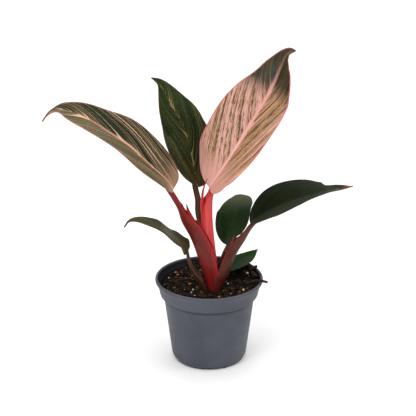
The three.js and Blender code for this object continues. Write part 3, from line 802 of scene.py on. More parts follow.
# %% The leaves
LEAVES = {
    "a": {
        "midrib": [
            (-0.0195, -0.0060, 0.1020), (-0.0235, -0.0062, 0.1075), (-0.0317, -0.0079, 0.1162),
            (-0.0427, -0.0099, 0.1276), (-0.0541, -0.0127, 0.1371), (-0.0654, -0.0141, 0.1451),
            (-0.0755, -0.0147, 0.1490), (-0.0825, -0.0154, 0.1475), (-0.0866, -0.0152, 0.1429),
        ],
        "faces": [(0.56, -0.23, 0.79), (0.61, -0.35, 0.71), (-0.99, -0.14, -0.01)],
        "half_width": 0.0184, "base_power": 0.47, "tip_power": 1.32, "fold": 21, "lobe": 0.0019,
        "veins": (2.3, 0.9), "wave": 0.0004, "waves": 2.5, "cells": (48, 100),
    },
    "b": {
        "midrib": [
            (-0.0061, 0.0112, 0.0968), (-0.0092, 0.0156, 0.1094), (-0.0130, 0.0207, 0.1263),
            (-0.0206, 0.0257, 0.1388), (-0.0266, 0.0292, 0.1493), (-0.0316, 0.0292, 0.1543),
        ],
        "faces": [(0.69, -0.63, 0.35), (-0.10, -0.93, 0.34), (0.46, -0.22, 0.86)],
        "half_width": 0.0140, "base_power": 0.42, "tip_power": 0.8, "fold": 25, "lobe": 0.0005,
        "nicks": [(0.02, -1, 0.35, 0.05)], "veins": (2.2, 0.8),
        "wave": 0.0003, "waves": 2, "cells": (40, 80),
    },
    "c": {
        "midrib": [
            (0.0005, 0.0045, 0.0990), (0.0100, 0.0035, 0.1140), (0.0220, 0.0085, 0.1330),
            (0.0335, 0.0145, 0.1515), (0.0390, 0.0190, 0.1630), (0.0425, 0.0200, 0.1695),
            (0.0465, 0.0190, 0.1720),
        ],
        "faces": [(-0.77, -0.42, 0.48), (-0.56, -0.64, 0.52), (-0.40, -0.78, 0.48), (-0.53, -0.26, 0.81)],
        "half_width": 0.0226, "base_power": 0.4, "tip_power": 0.76, "fold": 25, "lobe": 0.0003,
        "nicks": [(0.13, 1, 0.06, 0.02)], "veins": (1.8, 0.5),
        "wave": 0.0005, "waves": 2.5, "cells": (56, 104),
    },
    "d": {
        "midrib": [
            (0.0225, 0.0025, 0.0795), (0.0350, 0.0025, 0.0875), (0.0490, 0.0020, 0.0935),
            (0.0635, 0.0030, 0.0970), (0.0705, 0.0055, 0.0975), (0.0785, 0.0045, 0.1000),
        ],
        "faces": [(-0.88, -0.25, 0.40), (-0.51, -0.19, 0.84), (-0.34, 0.12, 0.93)],
        "half_width": 0.0155, "base_power": 0.67, "tip_power": 1.1, "fold": 23, "lobe": 0.0005,
        "nicks": [(0.70, -1, 0.06, 0.05), (0.80, -1, -0.12, 0.04)], "quilt": 0.00004,
        "wave": 0.0003, "waves": 2, "cells": (40, 84),
    },
    "e": {
        "midrib": [
            (0.0092, 0.0107, 0.0630), (0.0109, 0.0128, 0.0696), (0.0145, 0.0162, 0.0782),
            (0.0169, 0.0228, 0.0828), (0.0177, 0.0293, 0.0859),
        ],
        "faces": [(-0.82, -0.57, 0.04), (-0.59, -0.81, -0.02), (-0.10, -0.46, 0.88)],
        "half_width": 0.0112, "base_power": 0.57, "tip_power": 0.6, "fold": 15, "lobe": 0.0007,
        "nicks": [(0.93, -1, 0.12, 0.03)], "quilt": 0.00004,
        "wave": 0.0002, "waves": 2, "cells": (36, 60),
    },
    "f": {
        "midrib": [
            (0.0110, 0.0080, 0.0485), (0.0162, 0.0100, 0.0517), (0.0221, 0.0129, 0.0542),
            (0.0257, 0.0150, 0.0565), (0.0276, 0.0162, 0.0577),
        ],
        "faces": [(-0.37, 0.01, 0.93), (-0.26, -0.22, 0.94), (0.23, -0.23, 0.95)],
        "half_width": 0.0069, "base_power": 0.49, "tip_power": 1.09, "fold": 12, "lobe": 0.002,
        "quilt": 0.00004, "wave": 0.0001, "waves": 1, "cells": (28, 44),
    },
    "g": {
        "midrib": [
            (-0.0109, -0.0086, 0.0692), (-0.0152, -0.0120, 0.0742), (-0.0211, -0.0164, 0.0804),
            (-0.0271, -0.0202, 0.0869), (-0.0334, -0.0220, 0.0902), (-0.0391, -0.0236, 0.0915),
            (-0.0426, -0.0242, 0.0906), (-0.0448, -0.0249, 0.0875),
        ],
        "faces": [
            (0.86, -0.49, 0.16), (0.77, 0.10, 0.63), (0.73, 0.03, 0.68), (0.35, -0.22, 0.91),
            (-0.72, -0.39, 0.57),
        ],
        "half_width": 0.0080, "base_power": 0.4, "tip_power": 1.27, "fold": 5, "lobe": 0.0004,
        "nicks": [(0.11, 1, 0.38, 0.09), (0.012, 1, 0.45, 0.006), (0.03, 1, 0.2, 0.005)], "quilt": 0.00006,
        "wave": 0.0002, "waves": 2.5, "cells": (28, 72),
    },
}
blades = {key: blade(leaf) for key, leaf in LEAVES.items()}
print("blades made:", ", ".join(blades))


# %% [markdown]
# ### Leaf finishes
# A blade has a ground colour, streaks that follow the side veins, a midrib and a coloured margin. The
# stored values make streaks easy: one axis runs across the veins in millimetres, and the other along
# them. A cloud that is stretched many times along the veins gives the broad soft streaks. Where such a
# cloud passes its middle value it draws thin clear lines, like the contours of a map, and a shorter
# stretch gives dashes. The underside is plainer.

# %% Streaks, thin lines and dashes
def streaks(finish, veins, rate, bunch, gaps):
    """Soft uneven streaks along the veins, gathered in bunches and broken here and there."""
    fine = finish.cloud(veins, 1.0, detail=2, roughness=0.6, stretch=(rate, 0.035, 1))
    bunches = finish.cloud(veins, 1.0, detail=1, stretch=(rate / 3.5, 0.03, 1))
    breaks = finish.cloud(veins, 1.0, detail=2, stretch=(rate / 1.5, 0.22, 1))
    for cloud, weight in ((bunches, bunch), (breaks, gaps)):
        from_middle = finish.maths("SUBTRACT", cloud, 0.5)
        fine = finish.maths("ADD", fine, finish.maths("MULTIPLY", from_middle, weight))
    return fine


def thin_lines(finish, veins, rate, width):
    """Thin lines along the veins, which lie where a stretched cloud passes its middle value."""
    cloud = finish.cloud(veins, 1.0, detail=0, stretch=(rate, 0.025, 1))
    from_middle = finish.maths("ABSOLUTE", finish.maths("SUBTRACT", cloud, 0.5))
    breaks = finish.cloud(veins, 1.0, detail=2, stretch=(rate, 0.15, 1))
    lines = finish.between(from_middle, width, width * 0.25)
    return finish.maths("MULTIPLY", lines, finish.between(breaks, 0.3, 0.5, 0.35, 1))


def dashes(finish, veins, rate):
    """Short dark dashes, close together in some strips of the blade."""
    short = finish.cloud(veins, 1.0, detail=3, roughness=0.7, stretch=(rate, 0.6, 1))
    strips = finish.cloud(veins, 1.0, detail=1, stretch=(0.3, 0.04, 1))
    strips = finish.maths("MULTIPLY", finish.maths("SUBTRACT", strips, 0.5), 0.8)
    return finish.maths("ADD", short, strips)


# %% The layers that follow the ground and the veins
def ground_layers(finish, look, along, across, drift):
    from_base = finish.maths("ADD", along, finish.maths("MULTIPLY", drift, 0.1))
    tone = finish.mix(finish.between(drift, 0.3, 0.7, 0, 0.5), look["ground"], look["ground_shade"])
    # Towards the tip the ground changes: its own colour on most blades, a painted reflection on leaf e
    tone = finish.mix(finish.between(from_base, *look["tip_span"]), tone, look["ground_tip"])
    # One half takes another tone: its own colour on most blades, a painted sheen on leaf d
    other_half = finish.between(across, *look["half"], 0, look["half_share"])
    other_half = finish.maths("MULTIPLY", other_half, finish.between(along, *look["half_end"], 1, 0))
    return finish.mix(other_half, tone, look["half_tone"])


def vein_layers(finish, look, tone, along, veins, lines):
    line_share = finish.between(lines, *look["line_level"], 0, look["line_share"])
    fade = finish.between(along, *look["line_fade"], 1, look["line_end"])
    tone = finish.mix(finish.maths("MULTIPLY", line_share, fade), tone, look["line"])
    if "dash" in look:
        dash_share = finish.between(dashes(finish, veins, look["dash_rate"]), *look["dash_level"])
        dash_share = finish.maths("MULTIPLY", dash_share, finish.between(along, *look["dash_span"]))
        tone = finish.mix(finish.maths("MULTIPLY", dash_share, look["dash_share"]), tone, look["dash"])
    tone = finish.mix(finish.between(along, 0, look["base_reach"], look["base_share"], 0), tone, look["base"])
    thin_fade = finish.between(along, *look["thin_fade"], 1, look["thin_end"])
    for rate, width, share, colour in look["thin"]:
        thin = finish.maths("MULTIPLY", thin_lines(finish, veins, rate, width), share)
        tone = finish.mix(finish.maths("MULTIPLY", thin, thin_fade), tone, colour)
    return tone


# %% The midrib and the edges
INNER_SHARE = 0.4
LIGHT_STRIP_OUT = (-0.9, -0.5)
LIGHT_STRIP_IN = (0, -0.3)
RAGGED_WIDTH = 1.5
POINT_END = 0.995


def rib_cover(finish, look, along, from_rib):
    """How far the midrib's colour covers a point: full near the rib's line and falling to its side."""
    side = finish.maths("ABSOLUTE", from_rib)
    cover = finish.between(side, look["rib_width"] * INNER_SHARE, look["rib_width"], look["rib_share"], 0)
    return finish.maths("MULTIPLY", cover, finish.between(along, *look["rib_fade"], 1, look["rib_end"]))


def light_strip(finish, tone, along, from_rib, colour):
    """A pale strip beside the midrib, where it stands up and catches the light."""
    strip = finish.maths(
        "MULTIPLY", finish.between(from_rib, *LIGHT_STRIP_OUT), finish.between(from_rib, *LIGHT_STRIP_IN),
    )
    strip = finish.maths("MULTIPLY", strip, finish.between(along, 0.6, 0.3, 0, 0.8))
    return finish.mix(strip, tone, colour)


def edge_layers(finish, look, tone, along, to_margin):
    """The coloured margin, whose inner side is ragged, and the tip."""
    speckle = finish.cloud(finish.place(), 420, detail=3)
    ragged = finish.maths("ADD", to_margin, finish.maths("MULTIPLY", speckle, look["margin_width"]))
    width = look["margin_width"] * RAGGED_WIDTH
    margin = finish.between(ragged, width * INNER_SHARE, width, look["margin_share"], 0)
    tone = finish.mix(margin, tone, look["margin"])
    return finish.mix(finish.between(along, look["tip_from"], POINT_END), tone, look["tip"])


# %% One recipe for all blades
def blade_finish(name, look):
    finish = Finish(name, roughness=look["roughness"], specular=look["specular"])
    veins = finish.attribute("veins")
    along, across, face = finish.split(finish.attribute("blade"))
    to_margin, from_rib, _ = finish.split(finish.attribute("spans"))
    drift = finish.cloud(finish.place(), 60, detail=2)
    lines = streaks(finish, veins, look["line_rate"], look["bunch"], look["gaps"])
    rib = rib_cover(finish, look, along, from_rib)
    tone = ground_layers(finish, look, along, across, drift)
    tone = vein_layers(finish, look, tone, along, veins, lines)
    tone = finish.mix(rib, tone, look["rib"])
    if "rib_light" in look:
        tone = light_strip(finish, tone, along, from_rib, look["rib_light"])
    tone = edge_layers(finish, look, tone, along, to_margin)
    under = finish.mix(finish.between(lines, 0.4, 0.7), look["under"], look["under_line"])
    under = finish.mix(finish.maths("MULTIPLY", rib, 0.8), under, look["under_rib"])
    finish.colour(finish.mix(finish.between(face, 0.2, -0.2), tone, under))
    finish.gloss(finish.between(drift, 0.3, 0.7, look["roughness"] - 0.06, look["roughness"] + 0.08))
    ridges = finish.cloud(veins, 1.0, detail=1, stretch=(look["line_rate"], 0.02, 1))
    pores = finish.cloud(finish.place(), 3200, detail=1)
    finish.relief(finish.maths("ADD", ridges, finish.maths("MULTIPLY", pores, 0.15)), 0.0002, look["ridge"])
    return finish.material


# %% [markdown]
# The looks below say what a layer's colour is, what share of the tone it takes, and where along the blade
# it fades, from 0 at the stalk to 1 at the tip. Widths are in millimetres, and rates say how many streaks
# fall to a millimetre. A kind of thin line is its rate, width, share and colour. A plain leaf's values
# come first, and each leaf changes what is its own.

# %% A plain leaf's look
# The half where the way across is negative, or positive, with a soft change at the midrib
LOW_HALF = (0.05, -0.05)
HIGH_HALF = (-0.05, 0.05)
# A fade that begins at the tip, and so never shows
TO_THE_TIP = (1.0, 1.1)
PLAIN = {
    "line_rate": 0.6, "bunch": 0.5, "gaps": 0.3, "line_level": (0.5, 0.62), "line_share": 0.3,
    "line_fade": (0.75, 0.98), "line_end": 0.5, "thin_fade": (0.75, 0.98), "thin_end": 0.5,
    "base_reach": 0.15, "base_share": 0.0,
    "rib_width": 0.6, "rib_share": 0.5, "rib_fade": (0.55, 0.97), "rib_end": 0.2,
    "margin_width": 0.45, "margin_share": 0.7, "tip_span": (0.5, 0.95), "tip_from": 0.955,
    "half": LOW_HALF, "half_share": 0.0, "half_end": TO_THE_TIP, "half_tone": paint(70, 66, 46),
    "roughness": 0.42, "specular": 0.07, "ridge": 0.15,
    "under": paint(74, 70, 50), "under_line": paint(92, 84, 60), "under_rib": paint(120, 70, 60),
}
print("values of a plain leaf's look:", len(PLAIN))

# %% Looks of the seven leaves
LOOKS = {
    "a": {
        **PLAIN,
        "ground": paint(24, 37, 14), "ground_tip": paint(30, 46, 18), "ground_shade": paint(15, 24, 9),
        "line": paint(140, 126, 84), "line_rate": 0.22, "line_level": (0.58, 0.7), "line_share": 0.35,
        "bunch": 0.6, "gaps": 0.4, "line_fade": (0.7, 1.0), "line_end": 0.6,
        "thin": [(0.34, 0.018, 0.5, paint(140, 126, 80)), (0.2, 0.024, 1.0, paint(232, 190, 160))],
        "half_share": 0.55, "half_tone": paint(98, 92, 62), "base": paint(206, 160, 128),
        "base_reach": 0.14, "base_share": 0.45, "rib": paint(208, 150, 126), "rib_width": 1.15,
        "rib_share": 0.95, "rib_fade": (0.45, 0.85), "rib_end": 0.1, "margin": paint(184, 112, 108),
        "margin_width": 0.8, "margin_share": 0.85, "tip": paint(62, 46, 28), "tip_from": 0.9,
        "specular": 0.12, "ridge": 0.5, "under": paint(120, 96, 76), "under_line": paint(150, 116, 92),
    },
    "b": {
        **PLAIN,
        "ground": paint(15, 32, 11), "ground_tip": paint(22, 46, 17), "ground_shade": paint(10, 18, 7),
        "line": paint(44, 58, 28), "line_share": 0.5, "line_end": 0.6,
        "thin": [(0.5, 0.016, 0.5, paint(92, 90, 48)), (0.44, 0.015, 0.9, paint(156, 132, 82))],
        "base": paint(52, 38, 18), "base_reach": 0.35, "base_share": 0.5, "rib": paint(56, 44, 24),
        "margin": paint(124, 74, 58), "margin_width": 0.5, "tip": paint(60, 44, 30), "ridge": 0.3,
    },
    "c": {
        **PLAIN,
        "ground": paint(218, 168, 152), "ground_tip": paint(18, 28, 10), "ground_shade": paint(212, 152, 140),
        "tip_span": (0.64, 0.8), "line": paint(178, 136, 92),
        "line_rate": 0.32, "line_level": (0.45, 0.56), "line_share": 0.85, "line_fade": (0.6, 0.76),
        "line_end": 0.05, "dash": paint(60, 54, 18), "dash_rate": 0.75, "dash_level": (0.5, 0.56),
        "dash_share": 0.9, "dash_span": (0.05, 0.25), "half": HIGH_HALF, "half_share": 0.8,
        "half_tone": paint(158, 116, 72), "half_end": (0.6, 0.76),
        "thin": [(0.5, 0.02, 0.5, paint(222, 174, 150)), (0.2, 0.032, 0.95, paint(226, 168, 158))],
        "thin_fade": (0.6, 0.82), "thin_end": 0.12,
        "base": paint(224, 164, 154), "base_reach": 0.3, "base_share": 0.6, "rib": paint(228, 164, 156),
        "rib_width": 1.7, "rib_share": 0.95, "rib_fade": (0.6, 0.92), "rib_end": 0.15,
        "rib_light": paint(244, 206, 196), "margin": paint(208, 112, 116), "margin_width": 1.1,
        "margin_share": 0.9, "roughness": 0.36, "specular": 0.16, "ridge": 0.5, "under": paint(196, 130, 120),
        "under_line": paint(206, 150, 130), "tip_from": 0.95, "tip": paint(64, 56, 44),
    },
    "d": {
        **PLAIN,
        "ground": paint(18, 30, 10), "ground_tip": paint(22, 33, 13), "ground_shade": paint(12, 18, 7),
        "line": paint(40, 46, 30), "thin": [(0.5, 0.02, 0.3, paint(46, 48, 32))], "base": paint(64, 52, 42),
        # The greyer tone of one half is a painted sheen
        "base_share": 0.4, "base_reach": 0.08, "rib": paint(34, 30, 20), "half": HIGH_HALF,
        "half_share": 0.55, "half_tone": paint(40, 47, 30), "margin": paint(92, 50, 36), "margin_width": 0.35,
        "tip_from": 0.88, "tip": paint(140, 50, 42),
    },
    "e": {
        **PLAIN,
        # The paler ground towards the tip and the pale tip are a painted reflection, where the blade curves
        # back to the light
        "ground": paint(28, 50, 20), "ground_tip": paint(88, 94, 70), "ground_shade": paint(22, 36, 16),
        "tip_span": (0.6, 1.05), "line": paint(46, 66, 34), "line_share": 0.25,
        "thin": [(0.5, 0.02, 0.3, paint(66, 82, 50))], "rib": paint(44, 60, 32), "rib_share": 0.3,
        "base": paint(50, 60, 34), "margin": paint(60, 62, 40), "margin_width": 0.3, "margin_share": 0.5,
        "tip": paint(80, 84, 66),
    },
    "f": {
        **PLAIN,
        "ground": paint(30, 60, 22), "ground_tip": paint(42, 76, 28), "ground_shade": paint(24, 44, 18),
        "line": paint(42, 66, 32), "thin": [(0.6, 0.02, 0.3, paint(60, 84, 44))], "rib": paint(50, 68, 38),
        "base": paint(50, 60, 34), "margin": paint(56, 66, 38), "margin_width": 0.3, "margin_share": 0.5,
        "tip_from": 0.9, "tip": paint(160, 150, 84),
    },
    "g": {
        **PLAIN,
        "ground": paint(52, 52, 30), "ground_tip": paint(52, 62, 42), "ground_shade": paint(44, 44, 26),
        "tip_span": (0.3, 0.6), "line": paint(74, 72, 46), "thin": [(0.6, 0.025, 0.4, paint(92, 86, 56))],
        "rib": paint(80, 64, 42), "half_share": 0.6, "half_tone": paint(78, 68, 44),
        "base": paint(52, 42, 26), "base_share": 0.4, "margin": paint(92, 62, 44), "margin_width": 0.45,
        "tip": paint(104, 60, 36),
    },
}
SLOTS = {
    "a": "blade_streaked", "b": "blade_dark_streaked", "c": "blade_pink", "d": "blade_dark",
    "e": "blade_green", "f": "blade_green", "g": "blade_olive",
}
for key, obj in blades.items():
    finish = blade_finish(f"blade_{key}", LOOKS[key])
    finish_piece(obj, f"blade_{key}", finish, SLOTS[key], f"leaf_{key}", angle=60)

# %% [markdown]
# ## Stalks and their sheaths
# A stalk is fleshy, round at the back and grooved in front. Lower down the groove widens into a thin
# sheath that clasps the younger stalks. A cylinder is added, its sides are cut into many rings, and a
# formula places each ring: half an ellipse for the back and a shallower one for the groove.

# %% A cylinder cut into rings
def ringed_cylinder(sides, rows):
    """A closed cylinder of radius and height 1, whose upright edges are picked and cut into rows."""
    deselect_all()
    bpy.ops.mesh.primitive_cylinder_add(vertices=sides, radius=1, depth=1, end_fill_type="TRIFAN")
    obj = bpy.context.object
    edit(obj, select_all=False)
    bpy.ops.mesh.select_mode(type="EDGE")
    leave_edit()
    points = points_of(obj)
    for edge in obj.data.edges:
        first, second = (points[vertex] for vertex in edge.vertices)
        edge.select = abs(first[2] - second[2]) > 0.5
    bpy.ops.object.mode_set(mode="EDIT")
    bpy.ops.mesh.subdivide(number_cuts=rows - 1)
    bpy.ops.mesh.select_mode(type="VERT")
    leave_edit()
    return obj


# %% Rings of a stalk
SHEATH_WALL = 0.0008
THIN_STALK_WALL = 0.45
BACK_STEPS = 20
LIP_RISE = 0.00025
FULL_LIP = 0.002
STALK_SIDES = 2 * BACK_STEPS + 4


def section_values(stalk, place):
    """Half the width, the depth to the edges and the height of the groove's floor, at each place."""
    sections = np.array(stalk["sections"], float)
    upper = np.clip(np.searchsorted(sections[:, 0], place), 1, len(sections) - 1)
    low, high = sections[upper - 1], sections[upper]
    share = smooth(place, low[:, 0], high[:, 0])[:, None]
    return (low + (high - low) * share)[:, 1:].T


def ring_points(half, depth, floor, step):
    """Offsets out and up of a stalk's ring: the back, a lip, the groove and the other lip."""
    edge = np.minimum(SHEATH_WALL, THIN_STALK_WALL * half)
    last = 2 * BACK_STEPS + 3
    on_back = step <= BACK_STEPS
    on_groove = (step > BACK_STEPS + 1) & (step < last)
    angle = np.where(on_back, step, last - 1 - step) * math.pi / BACK_STEPS
    angle = np.where(on_back | on_groove, angle, np.where(step < last, math.pi, 0))
    back = np.stack([half * np.cos(angle), depth - depth * np.sin(angle)])
    groove = np.stack([(half - edge) * np.cos(angle), depth - (depth - floor) * np.sin(angle)])
    lip = np.stack([(half - edge / 2) * np.cos(angle), depth + LIP_RISE * np.minimum(half / FULL_LIP, 1)])
    return np.where(on_back, back, np.where(on_groove, groove, lip))


print("sides of a stalk:", STALK_SIDES)

# %% A stalk from its back line
JOIN_PLACES = (0.03, 0.13)
LAST_DROP = 0.002
SLIM_FROM = 0.88
SLIM_BY = 0.65
RIPPLE = 0.00008
RIPPLE_ROUND = 1.7
RIPPLE_ALONG = 5
LEAST_DEPTH = 1e-4


def stalk_line(stalk, leaf):
    """The line of the back, which runs on under the blade."""
    under = []
    for place, drop in zip(JOIN_PLACES, (stalk["join"], LAST_DROP)):
        point, _, facing, _ = axes_at(leaf["midrib"], leaf["faces"], np.array([place]))
        under.append(tuple((point - facing * drop)[0]))
    return [*stalk["back"], *under]


def store_skin(obj, line, place, out, up):
    """Keeps a point's place in its section and its way along the line, in mm, for streaks that follow it."""
    length = smooth_line(line)[1][-1]
    store(obj, "skin", 1000 * out, 1000 * up, 1000 * place * length)


def fleshy_stalk(stalk, leaf, rows):
    obj = ringed_cylinder(STALK_SIDES, rows)
    flat = points_of(obj)
    place = flat[:, 2] + 0.5
    centre = np.hypot(flat[:, 0], flat[:, 1]) < 0.5
    turn = np.arctan2(flat[:, 1], flat[:, 0]) / (2 * math.pi)
    step = np.round(turn * STALK_SIDES) % STALK_SIDES
    line = stalk_line(stalk, leaf)
    point, _, facing, side = axes_at(line, stalk["opens"], place)
    slim = 1 - SLIM_BY * smooth(place, SLIM_FROM, 1)
    half, depth, floor = section_values(stalk, place) * slim
    out, up = ring_points(half, depth, floor, step)
    out = np.where(centre, 0, out)
    up = np.where(centre, floor / 2, up)
    ripple = RIPPLE * np.sin(step * RIPPLE_ROUND + RIPPLE_ALONG * place) * (step <= BACK_STEPS)
    up = up - ripple
    move_points(obj, point + side * out[:, None] + facing * up[:, None])
    store_skin(obj, line, place, out, up)
    store(obj, "stalk", place, up / np.maximum(depth, LEAST_DEPTH))
    return obj


# %% [markdown]
# Where a sheath ends, its tip often stands free as a small point. It is a slim ringed cylinder that
# follows its own short line and narrows to nothing, joined to its stalk as one piece.

# %% Slim round pieces
TUBE_FACING = [(0.3, 1, 0.2), (0.3, 1, 0.2)]
SEAM_TWIST = 0.35
# A free tip takes the tone of the middle of its stalk and nearly that of the sheath's edge
TIP_TONE = 0.5
TIP_TONE_RISE = 0.2
TIP_EDGE = 0.9


def slim_tube(path, radii, sides, rows, flatten=1.0, seam=0.0):
    """A closed round tube along a path. With a seam, its radius falls by that share round each turn."""
    obj = ringed_cylinder(sides, rows)
    flat = points_of(obj)
    place = flat[:, 2] + 0.5
    centre = np.hypot(flat[:, 0], flat[:, 1]) < 0.5
    turn = np.arctan2(flat[:, 1], flat[:, 0])
    point, _, facing, side = axes_at(path, TUBE_FACING, place)
    radius = np.interp(place, np.linspace(0, 1, len(radii)), radii) * np.where(centre, 0, 1)
    overlap = ((turn / (2 * math.pi) + SEAM_TWIST * place) % 1.0) * seam
    out = radius * (1 - overlap) * np.sin(turn)
    up = radius * (1 - overlap) * np.cos(turn) * flatten
    move_points(obj, point + side * out[:, None] + facing * up[:, None])
    store_skin(obj, path, place, out, up)
    store(obj, "stalk", TIP_TONE + TIP_TONE_RISE * place, TIP_EDGE)
    return obj


# %% [markdown]
# ### Seven stalks
# A back line runs up the outside of a stalk. The groove opens towards the directions in "opens". A section
# is its place along the stalk, half its width, the depth from the back to the groove's edges, and the
# height of the groove's floor over the back. The join is how far the back lies under the blade's midrib.

# %% The seven stalks
STALKS = {
    "a": {
        "back": [
            (-0.0010, -0.0060, 0.0380), (-0.0013, -0.0060, 0.0440), (-0.0029, -0.0065, 0.0520),
            (-0.0059, -0.0070, 0.0618), (-0.0099, -0.0070, 0.0737), (-0.0148, -0.0068, 0.0835),
            (-0.0174, -0.0065, 0.0916),
        ],
        "opens": [(1, 0, 0.1), (1, 0.05, 0.35), (0.56, -0.23, 0.79)],
        "sections": [
            (0, 0.0033, 0.0030, 0.0024), (0.08, 0.0038, 0.0050, 0.0020), (0.2, 0.0039, 0.0083, 0.0018),
            (0.35, 0.0036, 0.0094, 0.0018), (0.52, 0.0030, 0.0080, 0.0020), (0.64, 0.0023, 0.0052, 0.0022),
            (0.71, 0.0019, 0.0032, 0.0026), (0.79, 0.0018, 0.0023, 0.0032), (0.9, 0.0017, 0.0020, 0.0030),
            (1, 0.0017, 0.0020, 0.0030),
        ],
        "tip": [(-0.0084, -0.0081, 0.0835), (-0.0110, -0.0083, 0.0896), (-0.0122, -0.0086, 0.0946)],
        "tip_radii": (0.0016, 0.0012, 0.0002), "join": 0.0034,
    },
    "b": {
        "back": [
            (0.0010, 0.0022, 0.0380), (0.0010, 0.0026, 0.0453), (-0.0007, 0.0042, 0.0602),
            (-0.0034, 0.0068, 0.0719), (-0.0062, 0.0098, 0.0830), (-0.0066, 0.0118, 0.0896),
        ],
        "opens": [(0, -1, 0.1), (0, -1, 0.1), (0.5, -0.8, 0.2)],
        "sections": [
            (0, 0.0023, 0.0020, 0.0018), (0.1, 0.0024, 0.0028, 0.0016), (0.35, 0.0021, 0.0028, 0.0016),
            (0.55, 0.0019, 0.0018, 0.0024), (0.7, 0.0018, 0.0017, 0.0028), (0.9, 0.0016, 0.0015, 0.0026),
            (1, 0.0016, 0.0015, 0.0026),
        ],
        "join": 0.0030,
    },
    "c": {
        "back": [
            (0.0043, -0.0060, 0.0380), (0.0044, -0.0060, 0.0440), (0.0048, -0.0055, 0.0515),
            (0.0044, -0.0040, 0.0593), (0.0029, -0.0010, 0.0708), (0.0018, 0.0025, 0.0839),
            (0.0022, 0.0054, 0.0940),
        ],
        "opens": [(-1, 0, 0), (-1, -0.1, 0.1), (-0.7, -0.55, 0.35)],
        "sections": [
            (0, 0.0019, 0.0022, 0.0023), (0.1, 0.0020, 0.0028, 0.0020), (0.25, 0.0024, 0.0050, 0.0018),
            (0.4, 0.0024, 0.0060, 0.0018), (0.55, 0.0023, 0.0060, 0.0018), (0.7, 0.0022, 0.0057, 0.0020),
            (0.76, 0.0021, 0.0047, 0.0024), (0.81, 0.0021, 0.0027, 0.0033), (0.9, 0.0019, 0.0020, 0.0030),
            (1, 0.0019, 0.0020, 0.0030),
        ],
        "tip": [(-0.0032, 0.0000, 0.0830), (-0.0042, 0.0006, 0.0885), (-0.0048, 0.0014, 0.0930)],
        "tip_radii": (0.0008, 0.0007, 0.0002), "join": 0.0034,
    },
    "d": {
        "back": [
            (0.0062, -0.0060, 0.0380), (0.0061, -0.0060, 0.0420), (0.0078, -0.0060, 0.0464),
            (0.0111, -0.0050, 0.0529), (0.0131, -0.0040, 0.0582), (0.0158, -0.0020, 0.0639),
            (0.0197, 0.0000, 0.0698), (0.0223, 0.0015, 0.0742),
        ],
        "opens": [(-1, 0, 0), (-1, -0.1, 0.3), (-0.6, -0.15, 0.75)],
        "sections": [
            (0, 0.0042, 0.0030, 0.0015), (0.1, 0.0048, 0.0045, 0.0013), (0.2, 0.0048, 0.0065, 0.0013),
            (0.38, 0.0040, 0.0066, 0.0016), (0.52, 0.0030, 0.0060, 0.0018), (0.62, 0.0023, 0.0052, 0.0020),
            (0.7, 0.0018, 0.0034, 0.0026), (0.78, 0.0016, 0.0022, 0.0029), (0.92, 0.0015, 0.0015, 0.0025),
            (1, 0.0015, 0.0015, 0.0025),
        ],
        "tip": [(0.0100, -0.0039, 0.0640), (0.0123, -0.0034, 0.0696), (0.0137, -0.0030, 0.0738)],
        "tip_radii": (0.0013, 0.0010, 0.0002), "join": 0.0030,
    },
    "e": {
        "back": [
            (0.0045, 0.0029, 0.0380), (0.0047, 0.0030, 0.0430), (0.0058, 0.0042, 0.0500),
            (0.0081, 0.0082, 0.0575),
        ],
        "opens": [(0, -1, 0.1), (-0.3, -1, 0.4), (-0.7, -0.6, 0.3)],
        "sections": [
            (0, 0.0011, 0.0010, 0.0016), (0.3, 0.0011, 0.0010, 0.0017), (0.9, 0.0008, 0.0008, 0.0014),
            (1, 0.0008, 0.0008, 0.0014),
        ],
        "join": 0.0022,
    },
    "f": {
        "back": [(0.0083, 0.0016, 0.0380), (0.0086, 0.0018, 0.0415), (0.0093, 0.0040, 0.0445)],
        "opens": [(-0.6, 0, 0.4), (-0.4, 0, 0.8), (-0.37, 0, 0.93)],
        "sections": [
            (0, 0.0012, 0.0010, 0.0016), (0.5, 0.0011, 0.0010, 0.0016), (0.9, 0.0008, 0.0008, 0.0014),
            (1, 0.0008, 0.0008, 0.0014),
        ],
        "join": 0.0022,
    },
    "g": {
        "back": [
            (-0.0026, -0.0080, 0.0380), (-0.0044, -0.0090, 0.0434), (-0.0063, -0.0093, 0.0480),
            (-0.0083, -0.0090, 0.0513), (-0.0099, -0.0086, 0.0546), (-0.0118, -0.0083, 0.0615),
        ],
        "opens": [(1, 0, 0.2), (1, -0.2, 0.4), (0.6, -0.7, -0.2)],
        "sections": [
            (0, 0.0019, 0.0022, 0.0016), (0.2, 0.0020, 0.0032, 0.0012), (0.36, 0.0019, 0.0034, 0.0012),
            (0.5, 0.0015, 0.0026, 0.0013), (0.6, 0.0013, 0.0013, 0.0020), (0.9, 0.0010, 0.0009, 0.0014),
            (1, 0.0010, 0.0009, 0.0014),
        ],
        "tip": [(-0.0038, -0.0104, 0.0485), (-0.0045, -0.0103, 0.0525), (-0.0055, -0.0100, 0.0552)],
        "tip_radii": (0.0007, 0.0006, 0.0002), "join": 0.0020,
    },
}
STALK_ROWS = 96
TIP_SIDES = 12
TIP_ROWS = 16
TIP_FLATTEN = 0.7
stalks = {}
for key, stalk in STALKS.items():
    parts = [fleshy_stalk(stalk, LEAVES[key], STALK_ROWS)]
    if "tip" in stalk:
        parts.append(slim_tube(stalk["tip"], stalk["tip_radii"], TIP_SIDES, TIP_ROWS, flatten=TIP_FLATTEN))
    stalks[key] = join(f"stalk_{key}", parts)
print("stalks made:", ", ".join(stalks))


# %% [markdown]
# ### Fleshy skin
# The stalks are smooth and a little waxy, with fine streaks along them, and the red ones glow slightly
# where light passes into them. Their colour runs from the foot to the blade, and the sheath's thin edges
# are brighter, so the finish mixes by the stored place and height.

